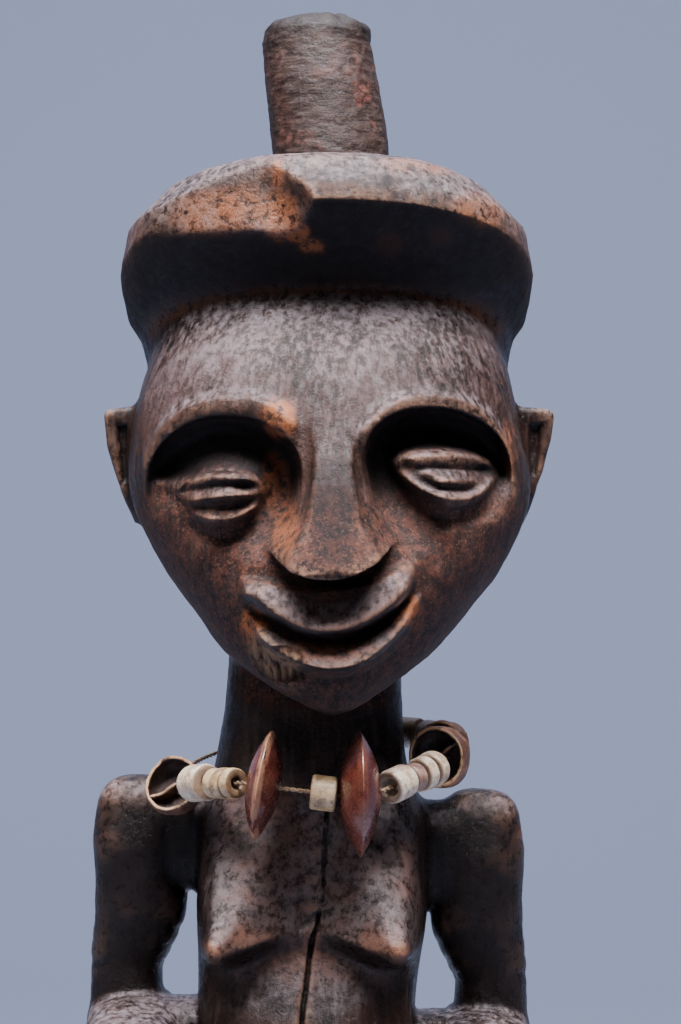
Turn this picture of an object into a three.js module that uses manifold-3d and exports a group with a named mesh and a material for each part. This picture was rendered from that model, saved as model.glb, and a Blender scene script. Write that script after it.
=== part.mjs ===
// A carved wooden standing figure with a wide flaring headdress, a stub of horn in its crown and a necklace.
// Millimetres, +Z up. The figure faces -Y, and the origin is the centre of the base's underside.
import * as THREE from 'three';
import { LoftGeometry } from 'three/addons/geometries/LoftGeometry.js';
import * as BufferGeometryUtils from 'three/addons/utils/BufferGeometryUtils.js';
import Module from 'manifold-3d';

// Driving dimensions
const BASE_HEIGHT = 26;
const BASE_RADIUS = 50;
const HEADDRESS_TILT = 0.2;
const HEADDRESS_CENTRE = { x: 3, y: 5 };
const CROWN_HEIGHT = 385;
const HORN_RADIUS = 15;
const HORN_SOCKET_DEPTH = 6;
const CLEARANCE = 0.3;
const EAR_TOP = 329.4;
const EAR_THICKNESS = 7;
const EYE_FACE = -44.5;
const EYE_SWELL = 5;
const STRING_RADIUS = 0.6;
const KNOT_RADIUS = 2.1;
const NAPE_BEAD_RADIUS = 4;
const BEAD_HOLE_RADIUS = 1.9;
const LENS_HOLE_RADIUS = 2.3;

const wasm = await Module();
wasm.setup();

// A closed geometry as a solid that can be joined and cut.
function solid(geometry) {
  const bare = new THREE.BufferGeometry().copy(geometry);
  bare.deleteAttribute('normal');
  bare.deleteAttribute('uv');
  const merged = BufferGeometryUtils.mergeVertices(bare);
  return new wasm.Manifold(new wasm.Mesh({
    numProp: 3,
    vertProperties: new Float32Array(merged.attributes.position.array),
    triVerts: new Uint32Array(merged.index.array),
  }));
}

function geometryOf(body) {
  const mesh = body.getMesh();
  const geometry = new THREE.BufferGeometry();
  geometry.setAttribute('position', new THREE.BufferAttribute(mesh.vertProperties, 3));
  geometry.setIndex(new THREE.BufferAttribute(mesh.triVerts, 1));
  geometry.computeVertexNormals();
  return geometry;
}

function mix(a, b, share) {
  return a + (b - a) * share;
}

// The sizes at height z, on a smooth curve through the rows that name them.
function sizesAt(levels, z) {
  const last = levels.length - 2;
  const found = levels.findIndex((level, i) => i <= last && z <= levels[i + 1].z);
  const i = found < 0 ? last : found;
  const [low, high] = [levels[i], levels[i + 1]];
  const before = levels[Math.max(i - 1, 0)];
  const after = levels[Math.min(i + 2, last + 1)];
  const span = high.z - low.z;
  const t = (z - low.z) / span;
  const sizes = { z };
  for (const key of Object.keys(low)) {
    if (key === 'z') continue;
    const startSlope = ((high[key] - before[key]) / (high.z - before.z)) * span;
    const endSlope = ((after[key] - low[key]) / (after.z - low.z)) * span;
    sizes[key] = low[key] * (2 * t ** 3 - 3 * t ** 2 + 1) + startSlope * (t ** 3 - 2 * t ** 2 + t)
      + high[key] * (3 * t ** 2 - 2 * t ** 3) + endSlope * (t ** 3 - t ** 2);
  }
  return sizes;
}

// One level section: an oval, squarer as the power grows, that reaches from its front to its back.
function section(size, sides, power, frontShare = 0.5) {
  const points = [];
  const frontSides = Math.round(sides * frontShare);
  for (let i = 0; i < sides; i += 1) {
    const atFront = i < frontSides;
    const share = atFront ? i / frontSides : (i - frontSides) / (sides - frontSides);
    const angle = Math.PI * (share + (atFront ? 1 : 0));
    const [c, s] = [Math.cos(angle), Math.sin(angle)];
    const x = Math.sign(c) * Math.abs(c) ** (2 / power);
    const y = Math.sign(s) * Math.abs(s) ** (2 / power);
    const middle = size.middle ?? 0;
    const reach = s < 0 ? middle - size.front : size.back - middle;
    points.push(new THREE.Vector3(size.x + x * size.half, middle + y * reach, size.z));
  }
  return points;
}

function loft(sections) {
  return new LoftGeometry(sections, { capStart: true, capEnd: true });
}

// A limb: oval sections across a smooth line through its stations. Each station is where the line goes, the
// half width along the given side and the half depth the other way.
function limb(stations, side, sides, steps, power = 2) {
  const line = new THREE.CatmullRomCurve3(stations.map((s) => new THREE.Vector3(...s.at)));
  const sections = [];
  for (let i = 0; i <= steps; i += 1) {
    const place = (i / steps) * (stations.length - 1);
    const low = Math.min(Math.floor(place), stations.length - 2);
    const [a, b] = [stations[low], stations[low + 1]];
    const [wide, deep] = ['wide', 'deep'].map((key) => mix(a[key], b[key], place - low));
    const centre = line.getPoint(i / steps);
    const along = line.getTangent(i / steps);
    const across = side.clone().addScaledVector(along, -side.dot(along)).normalize();
    const over = new THREE.Vector3().crossVectors(along, across);
    sections.push(Array.from({ length: sides }, (_, k) => {
      const angle = (2 * Math.PI * k) / sides;
      const [c, s] = [Math.cos(angle), Math.sin(angle)];
      const u = Math.sign(c) * Math.abs(c) ** (2 / power) * wide;
      const v = Math.sign(s) * Math.abs(s) ** (2 / power) * deep;
      return centre.clone().addScaledVector(across, u).addScaledVector(over, v);
    }));
  }
  return solid(loft(sections));
}

const ACROSS_X = new THREE.Vector3(1, 0, 0);
const ACROSS_Y = new THREE.Vector3(0, 1, 0);

// Base: a low round block, slightly wider at mid height, with worn edges.
function base() {
  const outline = new THREE.Path();
  outline.moveTo(0, 0);
  outline.lineTo(BASE_RADIUS - 1, 0);
  outline.quadraticCurveTo(BASE_RADIUS + 4, BASE_HEIGHT / 2, BASE_RADIUS - 1, BASE_HEIGHT - 3);
  outline.lineTo(BASE_RADIUS - 4, BASE_HEIGHT);
  outline.lineTo(0, BASE_HEIGHT);
  return solid(new THREE.LatheGeometry(outline.getPoints(2), 24).rotateX(Math.PI / 2));
}

// Leg: thigh, bent knee, thick calf and a large flat foot. Side is -1 at the viewer's left, 1 at the right.
function leg(side) {
  const shank = limb([
    { at: [side * 13, 2, 126], wide: 14, deep: 17 },
    { at: [side * 17, -3, 108], wide: 16, deep: 17 },
    { at: [side * 20, -11, 84], wide: 13.5, deep: 13.5 },
    { at: [side * 20, 1, 66], wide: 13.5, deep: 15 },
    { at: [side * 20, 4, 48], wide: 10.5, deep: 11 },
    { at: [side * 20, 2, 31], wide: 12, deep: 14 },
  ], ACROSS_X, 8, 8);
  const foot = limb([
    { at: [side * 20, 21, 29], wide: 8, deep: 6 },
    { at: [side * 20, 14, 31], wide: 12, deep: 11 },
    { at: [side * 20.5, -4, 32], wide: 13, deep: 12 },
    { at: [side * 21.5, -24, 28], wide: 14.5, deep: 7.5 },
    { at: [side * 21.5, -39, 26], wide: 13, deep: 5 },
  ], ACROSS_X, 8, 6, 2.6);
  return shank.add(foot);
}

// Torso and neck: one tapering column with a full belly, from the hips up into the head.
const TORSO_LEVELS = [
  { z: 106, half: 20, x: 0, front: -14, back: 15 },
  { z: 122, half: 29, x: 0, front: -20, back: 26 },
  { z: 140, half: 30.5, x: 0, front: -28, back: 25 },
  { z: 160, half: 29, x: -0.5, front: -36, back: 20 },
  { z: 180, half: 27, x: -2, front: -34, back: 19 },
  { z: 200, half: 28.3, x: -0.8, front: -27, back: 21 },
  { z: 215, half: 28.5, x: -0.3, front: -26, back: 22 },
  { z: 228, half: 28, x: -0.2, front: -25.5, back: 22 },
  { z: 240, half: 24, x: -0.8, front: -24, back: 21 },
  { z: 255, half: 22.2, x: -0.3, front: -22.5, back: 20 },
  { z: 285, half: 21, x: 0, front: -21, back: 19 },
];

function torso() {
  const [bottom, top] = [TORSO_LEVELS[0].z, TORSO_LEVELS.at(-1).z];
  const rows = 14;
  const sections = Array.from({ length: rows + 1 }, (_, i) => {
    const size = sizesAt(TORSO_LEVELS, mix(bottom, top, i / rows));
    return section(size, 16, 2.7);
  });
  return solid(loft(sections));
}

// Breast: a broad blunt cone that points forward, outward and down.
function breast(side, tipX) {
  const rootX = side * 13;
  return limb([
    { at: [rootX, -12, 208], wide: 15, deep: 17 },
    { at: [mix(rootX, tipX, 0.35), -24, 205], wide: 12.5, deep: 14.5 },
    { at: [mix(rootX, tipX, 0.75), -33.5, 201], wide: 7.5, deep: 8.5 },
    { at: [mix(rootX, tipX, 0.95), -39.5, 198], wide: 3.4, deep: 3.6 },
    { at: [tipX, -41.8, 197], wide: 1.6, deep: 1.8 },
  ], ACROSS_X, 9, 4);
}

const NAVEL = limb([
  { at: [-0.5, -30, 150], wide: 5, deep: 5 },
  { at: [-0.5, -37, 149], wide: 3.4, deep: 3.4 },
  { at: [-0.5, -39, 148.6], wide: 1.6, deep: 1.6 },
], ACROSS_X, 10, 3);

// Arm: a rounded shoulder on a yoke from the torso, a straight upper arm, and a forearm that goes forward
// to a hand on the belly. Drop is how much lower this arm sits, and inset how much nearer to the body.
function arm(side, drop, inset) {
  const x = (value) => side * (value - inset);
  const yoke = limb([
    { at: [side * 16, 2, 221 - drop], wide: 12, deep: 14 },
    { at: [side * 31, 2.5, 221.5 - drop], wide: 10, deep: 13 },
    { at: [x(41), 3, 223 - drop], wide: 8.5, deep: 12 },
    { at: [x(47), 3, 225 - drop], wide: 5, deep: 7 },
  ], ACROSS_Y, 8, 3, 3);
  const upper = limb([
    { at: [x(45), 3, 236.6 - drop], wide: 5, deep: 5 },
    { at: [x(44.8), 3, 231.5 - drop], wide: 9.6, deep: 9.5 },
    { at: [x(44.2), 3, 220 - drop], wide: 11.6, deep: 11 },
    { at: [x(43.6), 3, 206 - drop], wide: 11.8, deep: 10.5 },
    { at: [x(47), 4, 191 - drop], wide: 8.8, deep: 9.5 },
    { at: [x(47), 4, 176 - drop], wide: 9.5, deep: 10 },
    { at: [x(47), 4, 168 - drop], wide: 6, deep: 6 },
  ], ACROSS_X, 10, 12, 2.6);
  const forearm = limb([
    { at: [x(46), 15, 174 - drop], wide: 7, deep: 6 },
    { at: [x(45.5), 10, 174 - drop], wide: 11.5, deep: 9.5 },
    { at: [x(44.5), -8, 172.5 - drop], wide: 12.5, deep: 10.5 },
    { at: [x(43), -26, 170 - drop], wide: 11, deep: 9 },
    { at: [x(33), -41, 165 - drop], wide: 8.5, deep: 7 },
    { at: [x(20), -44, 158 - drop], wide: 7.5, deep: 9 },
    { at: [x(10), -42, 152 - drop], wide: 3.5, deep: 6 },
  ], ACROSS_X, 8, 9, 2.6);
  const web = limb([
    { at: [side * 18, -2, 173 - drop], wide: 12, deep: 9 },
    { at: [x(40), -2, 173 - drop], wide: 12, deep: 9.5 },
  ], ACROSS_Y, 8, 1, 2.8);
  return yoke.add(upper).add(forearm).add(web);
}

// Head: a broad heart shape that narrows to the chin, deeper than it is tall.
const HEAD_LEVELS = [
  { z: 256.4, half: 5, x: 4.6, front: -47.5, back: -36, middle: -42 },
  { z: 260, half: 12, x: 3.9, front: -50.5, back: -24, middle: -36 },
  { z: 267.5, half: 23.6, x: 3.6, front: -53, back: 5, middle: -18 },
  { z: 279, half: 34, x: 4.3, front: -52.5, back: 27, middle: -10 },
  { z: 295, half: 45, x: 4.5, front: -51.5, back: 37, middle: -6 },
  { z: 308, half: 49.7, x: 4, front: -50, back: 42, middle: -4 },
  { z: 323, half: 48.5, x: 3, front: -48.5, back: 43, middle: -2 },
  { z: 340, half: 44.6, x: 3.2, front: -42, back: 41, middle: 0 },
  { z: 356, half: 39, x: 3.2, front: -28, back: 38, middle: 3 },
  { z: 364, half: 34, x: 3.2, front: -20, back: 33, middle: 4 },
];

// Eye hollows: the brow is their upper edge, and they run out softly into the cheeks.
const EYE_HOLLOWS = [
  { x: -22, z: 313, half: 19, up: 14.5, down: 17, depth: 6.5 },
  { x: 30, z: 315.5, half: 20, up: 14, down: 16, depth: 6.5 },
];

function hollowDepth(x, z) {
  let depth = 0;
  for (const eye of EYE_HOLLOWS) {
    const reach = z > eye.z ? eye.up : eye.down;
    const off = ((x - eye.x) / eye.half) ** 2 + ((z - eye.z) / reach) ** 2;
    depth += off < 1 ? eye.depth * (1 - off ** 2) : 0;
  }
  return depth;
}

function head() {
  const rows = 19;
  const [bottom, top] = [HEAD_LEVELS[0].z, HEAD_LEVELS.at(-1).z];
  const sections = Array.from({ length: rows + 1 }, (_, i) => {
    const size = sizesAt(HEAD_LEVELS, mix(bottom, top, i / rows));
    const points = section(size, 27, 2.25, 0.74);
    for (const point of points) {
      if (point.y < size.middle) point.y += hollowDepth(point.x, point.z);
    }
    return points;
  });
  return solid(loft(sections));
}

// Nose: a straight wedge from between the brows, widening to the nostrils.
const NOSE_LEVELS = [
  { z: 286.6, half: 9, x: 4, front: -58, back: -40 },
  { z: 288.5, half: 13.5, x: 4, front: -63, back: -40 },
  { z: 292.5, half: 15, x: 4.5, front: -65.5, back: -40 },
  { z: 298, half: 11, x: 4.6, front: -63, back: -40 },
  { z: 306, half: 8, x: 4.6, front: -59, back: -40 },
  { z: 318, half: 6, x: 4.8, front: -53, back: -38 },
  { z: 328, half: 5.5, x: 4.8, front: -48, back: -36 },
];

function nose() {
  const sections = NOSE_LEVELS.map((size) => section({ ...size, middle: size.back + 2 }, 14, 2.2, 0.75));
  return solid(loft(sections));
}

// Lips: two crescents that turn up at the corners, the lower one inside the upper.
function lips() {
  const upper = limb([
    { at: [-17.5, -43, 289], wide: 2.5, deep: 2 },
    { at: [-9, -53, 282], wide: 5, deep: 4.6 },
    { at: [3, -57, 279], wide: 5.5, deep: 5 },
    { at: [15, -53.5, 283], wide: 5, deep: 4.6 },
    { at: [23.5, -43, 291], wide: 2.5, deep: 2 },
  ], ACROSS_Y, 7, 8);
  const lower = limb([
    { at: [-15, -42, 279], wide: 2, deep: 2 },
    { at: [-7, -51.5, 272], wide: 4.6, deep: 4 },
    { at: [4, -55, 269], wide: 5, deep: 4.4 },
    { at: [15, -51.5, 273], wide: 4.6, deep: 4 },
    { at: [23.5, -42, 282], wide: 2, deep: 2 },
  ], ACROSS_Y, 7, 8);
  return upper.add(lower);
}

// Brow: a ridge that arches over an eye hollow from the nose to the temple.
function brow(points) {
  return limb(points.map((at, i) => {
    const atEnd = i === 0 || i === points.length - 1;
    return { at, wide: atEnd ? 1.5 : 3.4, deep: atEnd ? 1.2 : 2.6 };
  }), ACROSS_Y, 6, 8);
}

function brows() {
  const left = brow([[-3, -46.5, 323], [-9, -46.5, 327], [-22, -44, 328.5], [-34, -36, 324], [-41, -27, 314]]);
  const right = brow([[10.5, -46.5, 321], [17, -46, 327], [30, -42.5, 329.5], [42, -34, 325.5], [49, -23, 316]]);
  return left.add(right);
}

// Eye: a flat almond of lids that stands in its hollow.
function eye(x, z, half, height, slope) {
  const lid = new THREE.SphereGeometry(1, 10, 6).scale(half, EYE_SWELL, height).rotateY(-slope);
  return solid(lid.translate(x, EYE_FACE, z));
}

// Ear: a small flange, straight on top, that narrows downward, with a cut groove.
function ear(side, x) {
  const outline = new THREE.Shape();
  outline.moveTo(-6, 0.5);
  outline.lineTo(6.2, 0);
  outline.quadraticCurveTo(8.6, -2, 7.6, -9);
  outline.quadraticCurveTo(6, -22, 1, -27.5);
  outline.lineTo(-6, -29);
  const thick = { depth: EAR_THICKNESS, bevelEnabled: false, curveSegments: 4 };
  const flange = new THREE.ExtrudeGeometry(outline, thick);
  const hole = new THREE.Shape();
  hole.moveTo(1.5, -4);
  hole.lineTo(5, -4.5);
  hole.quadraticCurveTo(4.5, -14, 1.5, -19);
  const deep = { depth: EAR_THICKNESS - 1, bevelEnabled: false, curveSegments: 3 };
  const groove = new THREE.ExtrudeGeometry(hole, deep);
  const cut = solid(flange).subtract(solid(groove.translate(0, 0, 4)));
  const shaped = geometryOf(cut).rotateX(Math.PI / 2);
  const placed = shaped.translate(0, 6, 0);
  if (side > 0) return solid(placed.translate(x, 0, EAR_TOP));
  const mirrored = placed.scale(-1, 1, 1);
  const index = mirrored.index.array;
  for (let i = 0; i < index.length; i += 3) {
    [index[i], index[i + 1]] = [index[i + 1], index[i]];
  }
  return solid(mirrored.translate(x, 0, EAR_TOP));
}

// Headdress: a rim that flares out over the forehead, a bevel above it and a low dome, all tilted up in front.
const HEADDRESS_LEVELS = [
  { z: 333, half: 40, front: -14, back: 37, lift: 0.4 },
  { z: 342, half: 45.4, front: -26, back: 41, lift: 0.42 },
  { z: 348, half: 47.4, front: -32, back: 44, lift: 0.36 },
  { z: 353, half: 50, front: -37, back: 47, lift: 0.3 },
  { z: 360, half: 51.2, front: -42.5, back: 50, lift: 0.23 },
  { z: 367, half: 51.8, front: -46, back: 51.5, lift: HEADDRESS_TILT },
  { z: 371, half: 50.6, front: -45, back: 50.5, lift: HEADDRESS_TILT },
  { z: 379.5, half: 42, front: -37.5, back: 43, lift: HEADDRESS_TILT },
  { z: 382.2, half: 37, front: -32, back: 38, lift: HEADDRESS_TILT },
  { z: CROWN_HEIGHT, half: 20, front: -12, back: 26, lift: HEADDRESS_TILT },
];

function headdress() {
  const { x, y } = HEADDRESS_CENTRE;
  const sections = HEADDRESS_LEVELS.map((size) => {
    const points = section({ ...size, x, middle: y }, 28, 2.15);
    for (const point of points) point.z -= size.lift * (point.y - y);
    return points;
  });
  return solid(loft(sections));
}

// Horn stub: it leans back and a little to the viewer's left, and its worn top is nearly flat.
function horn(grow) {
  const radius = HORN_RADIUS + grow;
  return limb([
    { at: [4.8, 8.5, CROWN_HEIGHT - HORN_SOCKET_DEPTH - grow], wide: radius, deep: radius },
    { at: [3.7, 10.5, 396], wide: radius + 0.3, deep: radius },
    { at: [1.8, 12.5, 411], wide: radius - 0.4, deep: radius - 0.4 },
    { at: [0.2, 14.5, 422], wide: radius - 1, deep: radius - 1 },
    { at: [0.4, 15.2, 426.5], wide: radius - 2.6, deep: radius - 3 },
    { at: [0.6, 15.5, 428 + grow], wide: radius - 6, deep: radius - 6 },
  ], ACROSS_X, 16, 7);
}

// The whole figure is carved from one block.
function figure() {
  let body = base();
  const parts = [
    leg(-1), leg(1), torso(), breast(-1, -24.3), breast(1, 20.5), NAVEL,
    arm(-1, 0, 0), arm(1, 3.5, 3.1), head(), nose(), brows(), lips(),
    eye(-22.3, 305.4, 9, 6.8, 0.12), eye(31, 311.9, 13, 6.8, 0),
    ear(-1, -45.5), ear(1, 52.5), headdress(),
  ];
  for (const part of parts) body = body.add(part);
  return body.subtract(horn(CLEARANCE));
}

function material(color, roughness) {
  return new THREE.MeshStandardMaterial({ color, roughness, metalness: 0 });
}

const object = new THREE.Group();

function addPiece(name, geometry, surface) {
  const mesh = new THREE.Mesh(geometry, surface);
  mesh.name = name;
  object.add(mesh);
  return mesh;
}

addPiece('figure', geometryOf(figure()), material(0x2c221e, 0.45));
addPiece('crown_horn', geometryOf(horn(0)), material(0x5b4a42, 0.6));

// Necklace: a knotted fibre string round the neck. Its route runs from the front to the viewer's right, round
// the nape and back. Distances along it are counted from the front, and those to the viewer's left are negative.
const STRING_ROUTE = new THREE.CatmullRomCurve3([
  [2.4, -41.4, 236.3], [5.8, -41.5, 236.1], [15, -40.3, 236.4], [20.5, -34.3, 238.2], [25, -28, 239.3],
  [29.4, -21, 240.8], [33, -10, 243], [33.6, 3, 244.6], [29, 18, 246], [16, 27.5, 246.5], [-0.5, 30.5, 246],
  [-15, 27.5, 244], [-25, 18, 241.5], [-31.5, 4, 239], [-32.8, -11.5, 235], [-28.2, -24.5, 237.4],
  [-21.5, -33, 237.9], [-15.9, -39.2, 238.5], [-7.8, -41.1, 237.5],
].map((point) => new THREE.Vector3(...point)), true);
const ROUTE_LENGTH = STRING_ROUTE.getLength();
const NAPE = ROUTE_LENGTH / 2 - 2;

function onString(distance) {
  return STRING_ROUTE.getPointAt((distance / ROUTE_LENGTH + 1) % 1);
}

// The string is one tube whose ends meet inside the knot at the nape.
function necklaceString() {
  const knotHalf = 0.8;
  const steps = 52;
  const profile = new THREE.Shape();
  profile.absarc(0, 0, STRING_RADIUS, 0, 2 * Math.PI, false);
  const points = Array.from({ length: steps + 1 }, (_, i) => (
    onString(NAPE + mix(knotHalf, ROUTE_LENGTH - knotHalf, i / steps))
  ));
  const path = new THREE.CatmullRomCurve3(points);
  const sweep = { steps, extrudePath: path, curveSegments: 3, bevelEnabled: false };
  const tube = new THREE.ExtrudeGeometry(profile, sweep);
  const knotAt = onString(NAPE);
  const knot = new THREE.IcosahedronGeometry(KNOT_RADIUS, 1).translate(knotAt.x, knotAt.y, knotAt.z);
  return geometryOf(solid(tube).add(solid(knot)));
}

addPiece('necklace_string', necklaceString(), material(0x8a7658, 0.9));

function turned(points, sides) {
  return new THREE.LatheGeometry(points.map(([r, y]) => new THREE.Vector2(r, y)), sides);
}

// Bead: a short cylinder with a straight hole.
function bead(radius, length) {
  const half = length / 2;
  return turned([
    [BEAD_HOLE_RADIUS, -half], [radius, -half], [radius, half], [BEAD_HOLE_RADIUS, half],
    [BEAD_HOLE_RADIUS, -half],
  ], 10);
}

// Lens bead: a biconvex disc, thick at its hole and sharp at its rim.
function lensBead(radius, thickness) {
  const rim = 0.5;
  return turned([
    [LENS_HOLE_RADIUS, -thickness / 2], [radius * 0.5, -thickness * 0.36], [radius, -rim],
    [radius, rim], [radius * 0.5, thickness * 0.36], [LENS_HOLE_RADIUS, thickness / 2],
    [LENS_HOLE_RADIUS, -thickness / 2],
  ], 18);
}

// Nutshell: half a thin-walled shell, pierced at its closed end, with its cut mouth open.
function nutshell(radius, depth) {
  const wall = 1.3;
  return turned([
    [BEAD_HOLE_RADIUS, 0], [radius * 0.7, 0.3], [radius, depth * 0.5], [radius, depth],
    [radius - wall, depth], [radius - wall, depth * 0.5], [radius * 0.66, wall + 0.2],
    [BEAD_HOLE_RADIUS, wall], [BEAD_HOLE_RADIUS, 0],
  ], 12);
}

const BONE = material(0xd9ccb4, 0.6);
const CREAM = material(0xc9b48c, 0.6);
const PINKISH = material(0xb08a72, 0.6);
const RESIN = material(0x6a2418, 0.25);
const SHELL = material(0x7a4a28, 0.7);

// Places a threaded piece with its middle at a distance along the string and its hole along the string there.
function thread(name, geometry, surface, distance, length) {
  const mesh = addPiece(name, geometry, surface);
  const [start, end] = [onString(distance - length / 2), onString(distance + length / 2)];
  mesh.position.addVectors(start, end).multiplyScalar(0.5).lerp(onString(distance), 0.5);
  mesh.quaternion.setFromUnitVectors(ACROSS_Y, end.sub(start).normalize());
}

// Hangs a lens bead or a nutshell at a distance along the string, with its own axis turned the given way.
function hang(name, geometry, surface, distance, axis) {
  const mesh = addPiece(name, geometry, surface);
  mesh.position.copy(onString(distance));
  mesh.quaternion.setFromUnitVectors(ACROSS_Y, new THREE.Vector3(...axis).normalize());
}

// The front of the necklace, each bead at its distance from the front centre.
hang('lens_bead_left', lensBead(13.3, 7.6), RESIN, -14.4, [0.97, 0.06, -0.15]);
hang('lens_bead_right', lensBead(15.1, 9.6), RESIN, 8.6, [1, 0.06, 0]);

const FRONT_BEADS = [
  { name: 'bone_bead_centre', distance: 0, radius: 4.3, length: 6.4, surface: CREAM },
  { name: 'bone_bead_right_1', distance: 20.4, radius: 4.2, length: 7.4, surface: BONE },
  { name: 'bone_bead_right_2', distance: 26.8, radius: 3.6, length: 4, surface: PINKISH },
  { name: 'bone_bead_right_3', distance: 31.2, radius: 4.3, length: 3.8, surface: BONE },
  { name: 'bone_bead_right_4', distance: 35.5, radius: 4.5, length: 3.8, surface: BONE },
  { name: 'bone_bead_left_1', distance: -23.4, radius: 3.8, length: 3.2, surface: CREAM },
  { name: 'bone_bead_left_2', distance: -26.8, radius: 3.9, length: 3.2, surface: CREAM },
  { name: 'bone_bead_left_3', distance: -30.2, radius: 3.7, length: 3.2, surface: CREAM },
  { name: 'bone_bead_left_4', distance: -37.2, radius: 4.6, length: 8.4, surface: BONE },
];
for (const one of FRONT_BEADS) {
  thread(one.name, bead(one.radius, one.length), one.surface, one.distance, one.length);
}

hang('nutshell_left', nutshell(7.6, 6.2), SHELL, -52.2, [-0.3, -0.93, 0.2]);
hang('nutshell_right_1', nutshell(8, 6.4), SHELL, 48.6, [-0.45, -0.88, 0]);
hang('nutshell_right_2', nutshell(7, 6), SHELL, 58, [-0.45, -0.88, 0.1]);
hang('nutshell_right_3', nutshell(6.6, 6), SHELL, 67, [-0.1, -1, -0.2]);

// Plainer bone beads run round the nape on both sides of the knot.
const NAPE_BEADS = { right: 4, left: 2 };
const NAPE_BEAD_LENGTH = 7.4;
const NAPE_BEAD_GAP = 1.6;
for (const [side, count] of Object.entries(NAPE_BEADS)) {
  for (let i = 1; i <= count; i += 1) {
    const away = i * (NAPE_BEAD_LENGTH + NAPE_BEAD_GAP) - 1.7;
    const distance = side === 'right' ? NAPE - away : NAPE + away;
    const shape = bead(NAPE_BEAD_RADIUS, NAPE_BEAD_LENGTH);
    thread(`nape_bead_${side}_${i}`, shape, CREAM, distance, NAPE_BEAD_LENGTH);
  }
}

export default object;
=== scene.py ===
import bmesh
import bpy
import numpy as np
from mathutils import Matrix, Vector


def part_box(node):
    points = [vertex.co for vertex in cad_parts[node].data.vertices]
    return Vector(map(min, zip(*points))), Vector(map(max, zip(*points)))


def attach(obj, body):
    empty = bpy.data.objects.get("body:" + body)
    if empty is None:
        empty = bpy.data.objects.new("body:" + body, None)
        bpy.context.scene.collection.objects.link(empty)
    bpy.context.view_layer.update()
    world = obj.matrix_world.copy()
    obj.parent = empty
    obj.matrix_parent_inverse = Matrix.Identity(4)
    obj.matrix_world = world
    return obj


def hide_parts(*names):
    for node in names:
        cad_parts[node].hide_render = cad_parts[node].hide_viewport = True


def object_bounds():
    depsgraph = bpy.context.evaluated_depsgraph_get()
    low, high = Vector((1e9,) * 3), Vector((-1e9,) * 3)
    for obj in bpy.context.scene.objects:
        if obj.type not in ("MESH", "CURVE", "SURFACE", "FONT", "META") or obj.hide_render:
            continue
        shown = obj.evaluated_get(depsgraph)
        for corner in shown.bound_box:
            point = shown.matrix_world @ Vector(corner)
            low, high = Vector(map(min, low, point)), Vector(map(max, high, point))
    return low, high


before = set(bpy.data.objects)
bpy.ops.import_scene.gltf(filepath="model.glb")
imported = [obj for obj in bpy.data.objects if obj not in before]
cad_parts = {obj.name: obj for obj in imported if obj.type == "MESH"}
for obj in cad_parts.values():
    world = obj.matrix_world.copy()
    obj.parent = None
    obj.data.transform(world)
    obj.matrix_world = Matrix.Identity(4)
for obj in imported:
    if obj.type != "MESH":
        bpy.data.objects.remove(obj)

cad_box = [list(corner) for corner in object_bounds()]
MM = 0.001

# Camera
# The photograph looks straight at the face, level with the mouth, from 0.8 m away.
# It holds the horn, the head and the chest down to the elbows.
camera_distance = 0.8
face_middle, mouth_height = 0.0064, 0.303
camera = bpy.data.objects.new("camera", bpy.data.cameras.new("camera"))
camera.data.sensor_fit = "VERTICAL"
camera.data.sensor_height = 36
camera.data.lens = 112.5
camera.location = (face_middle, -camera_distance, mouth_height)
camera.rotation_euler = (np.pi / 2, 0, 0)
bpy.context.scene.collection.objects.link(camera)
bpy.context.scene.camera = camera


# The carved figure
# One block of dense dark wood, from the headdress to the base, cut with an adze and a knife. Its form is
# worked out as a field of distances in millimetres: below zero is wood, above zero is air.
def smooth_line(points, steps=8):
    """A smooth line through the points, with so many steps from each point to the next."""
    points = np.array(points, float)
    padded = np.vstack([2 * points[0] - points[1], points, 2 * points[-1] - points[-2]])
    t = np.linspace(0, 1, steps, endpoint=False)[:, None]
    runs = []
    for before, start, end, after in zip(padded, padded[1:], padded[2:], padded[3:]):
        bend = 2 * before - 5 * start + 4 * end - after
        turn = 3 * start - before - 3 * end + after
        runs.append(0.5 * (2 * start + (end - before) * t + bend * t ** 2 + turn * t ** 3))
    return np.vstack(runs + [points[-1:]])


def ease(value):
    """Goes smoothly from 0 to 1 as the value goes from 0 to 1."""
    value = np.clip(value, 0, 1)
    return value * value * (3 - 2 * value)


def rising(value, start, over):
    """Goes smoothly from 0 at the start to 1 beyond it, over a run of values."""
    return ease((value - start) / over)


def falling(value, end, over):
    """Goes smoothly from 1 to 0 at the end, over a run of values before it."""
    return ease((end - value) / over)


def join(first, second, blend):
    """Both bodies of wood as one, with a soft hollow of the given size where they meet."""
    near = np.maximum(blend - np.abs(first - second), 0) / blend
    return np.minimum(first, second) - near * near * blend / 4


def cut(body, tool, blend):
    """What is left of a body of wood where a tool has taken its own form away."""
    return -join(-body, tool, blend)


# Relief on the front of the figure: how far the wood stands proud of its plain form, at each place (x, z).
map_step = 0.25
map_x0, map_z0 = -62.0, 95.0
map_x, map_z = np.meshgrid(np.arange(map_x0, 62, map_step), np.arange(map_z0, 352, map_step), indexing="ij")
relief = np.zeros(map_x.shape)


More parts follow.
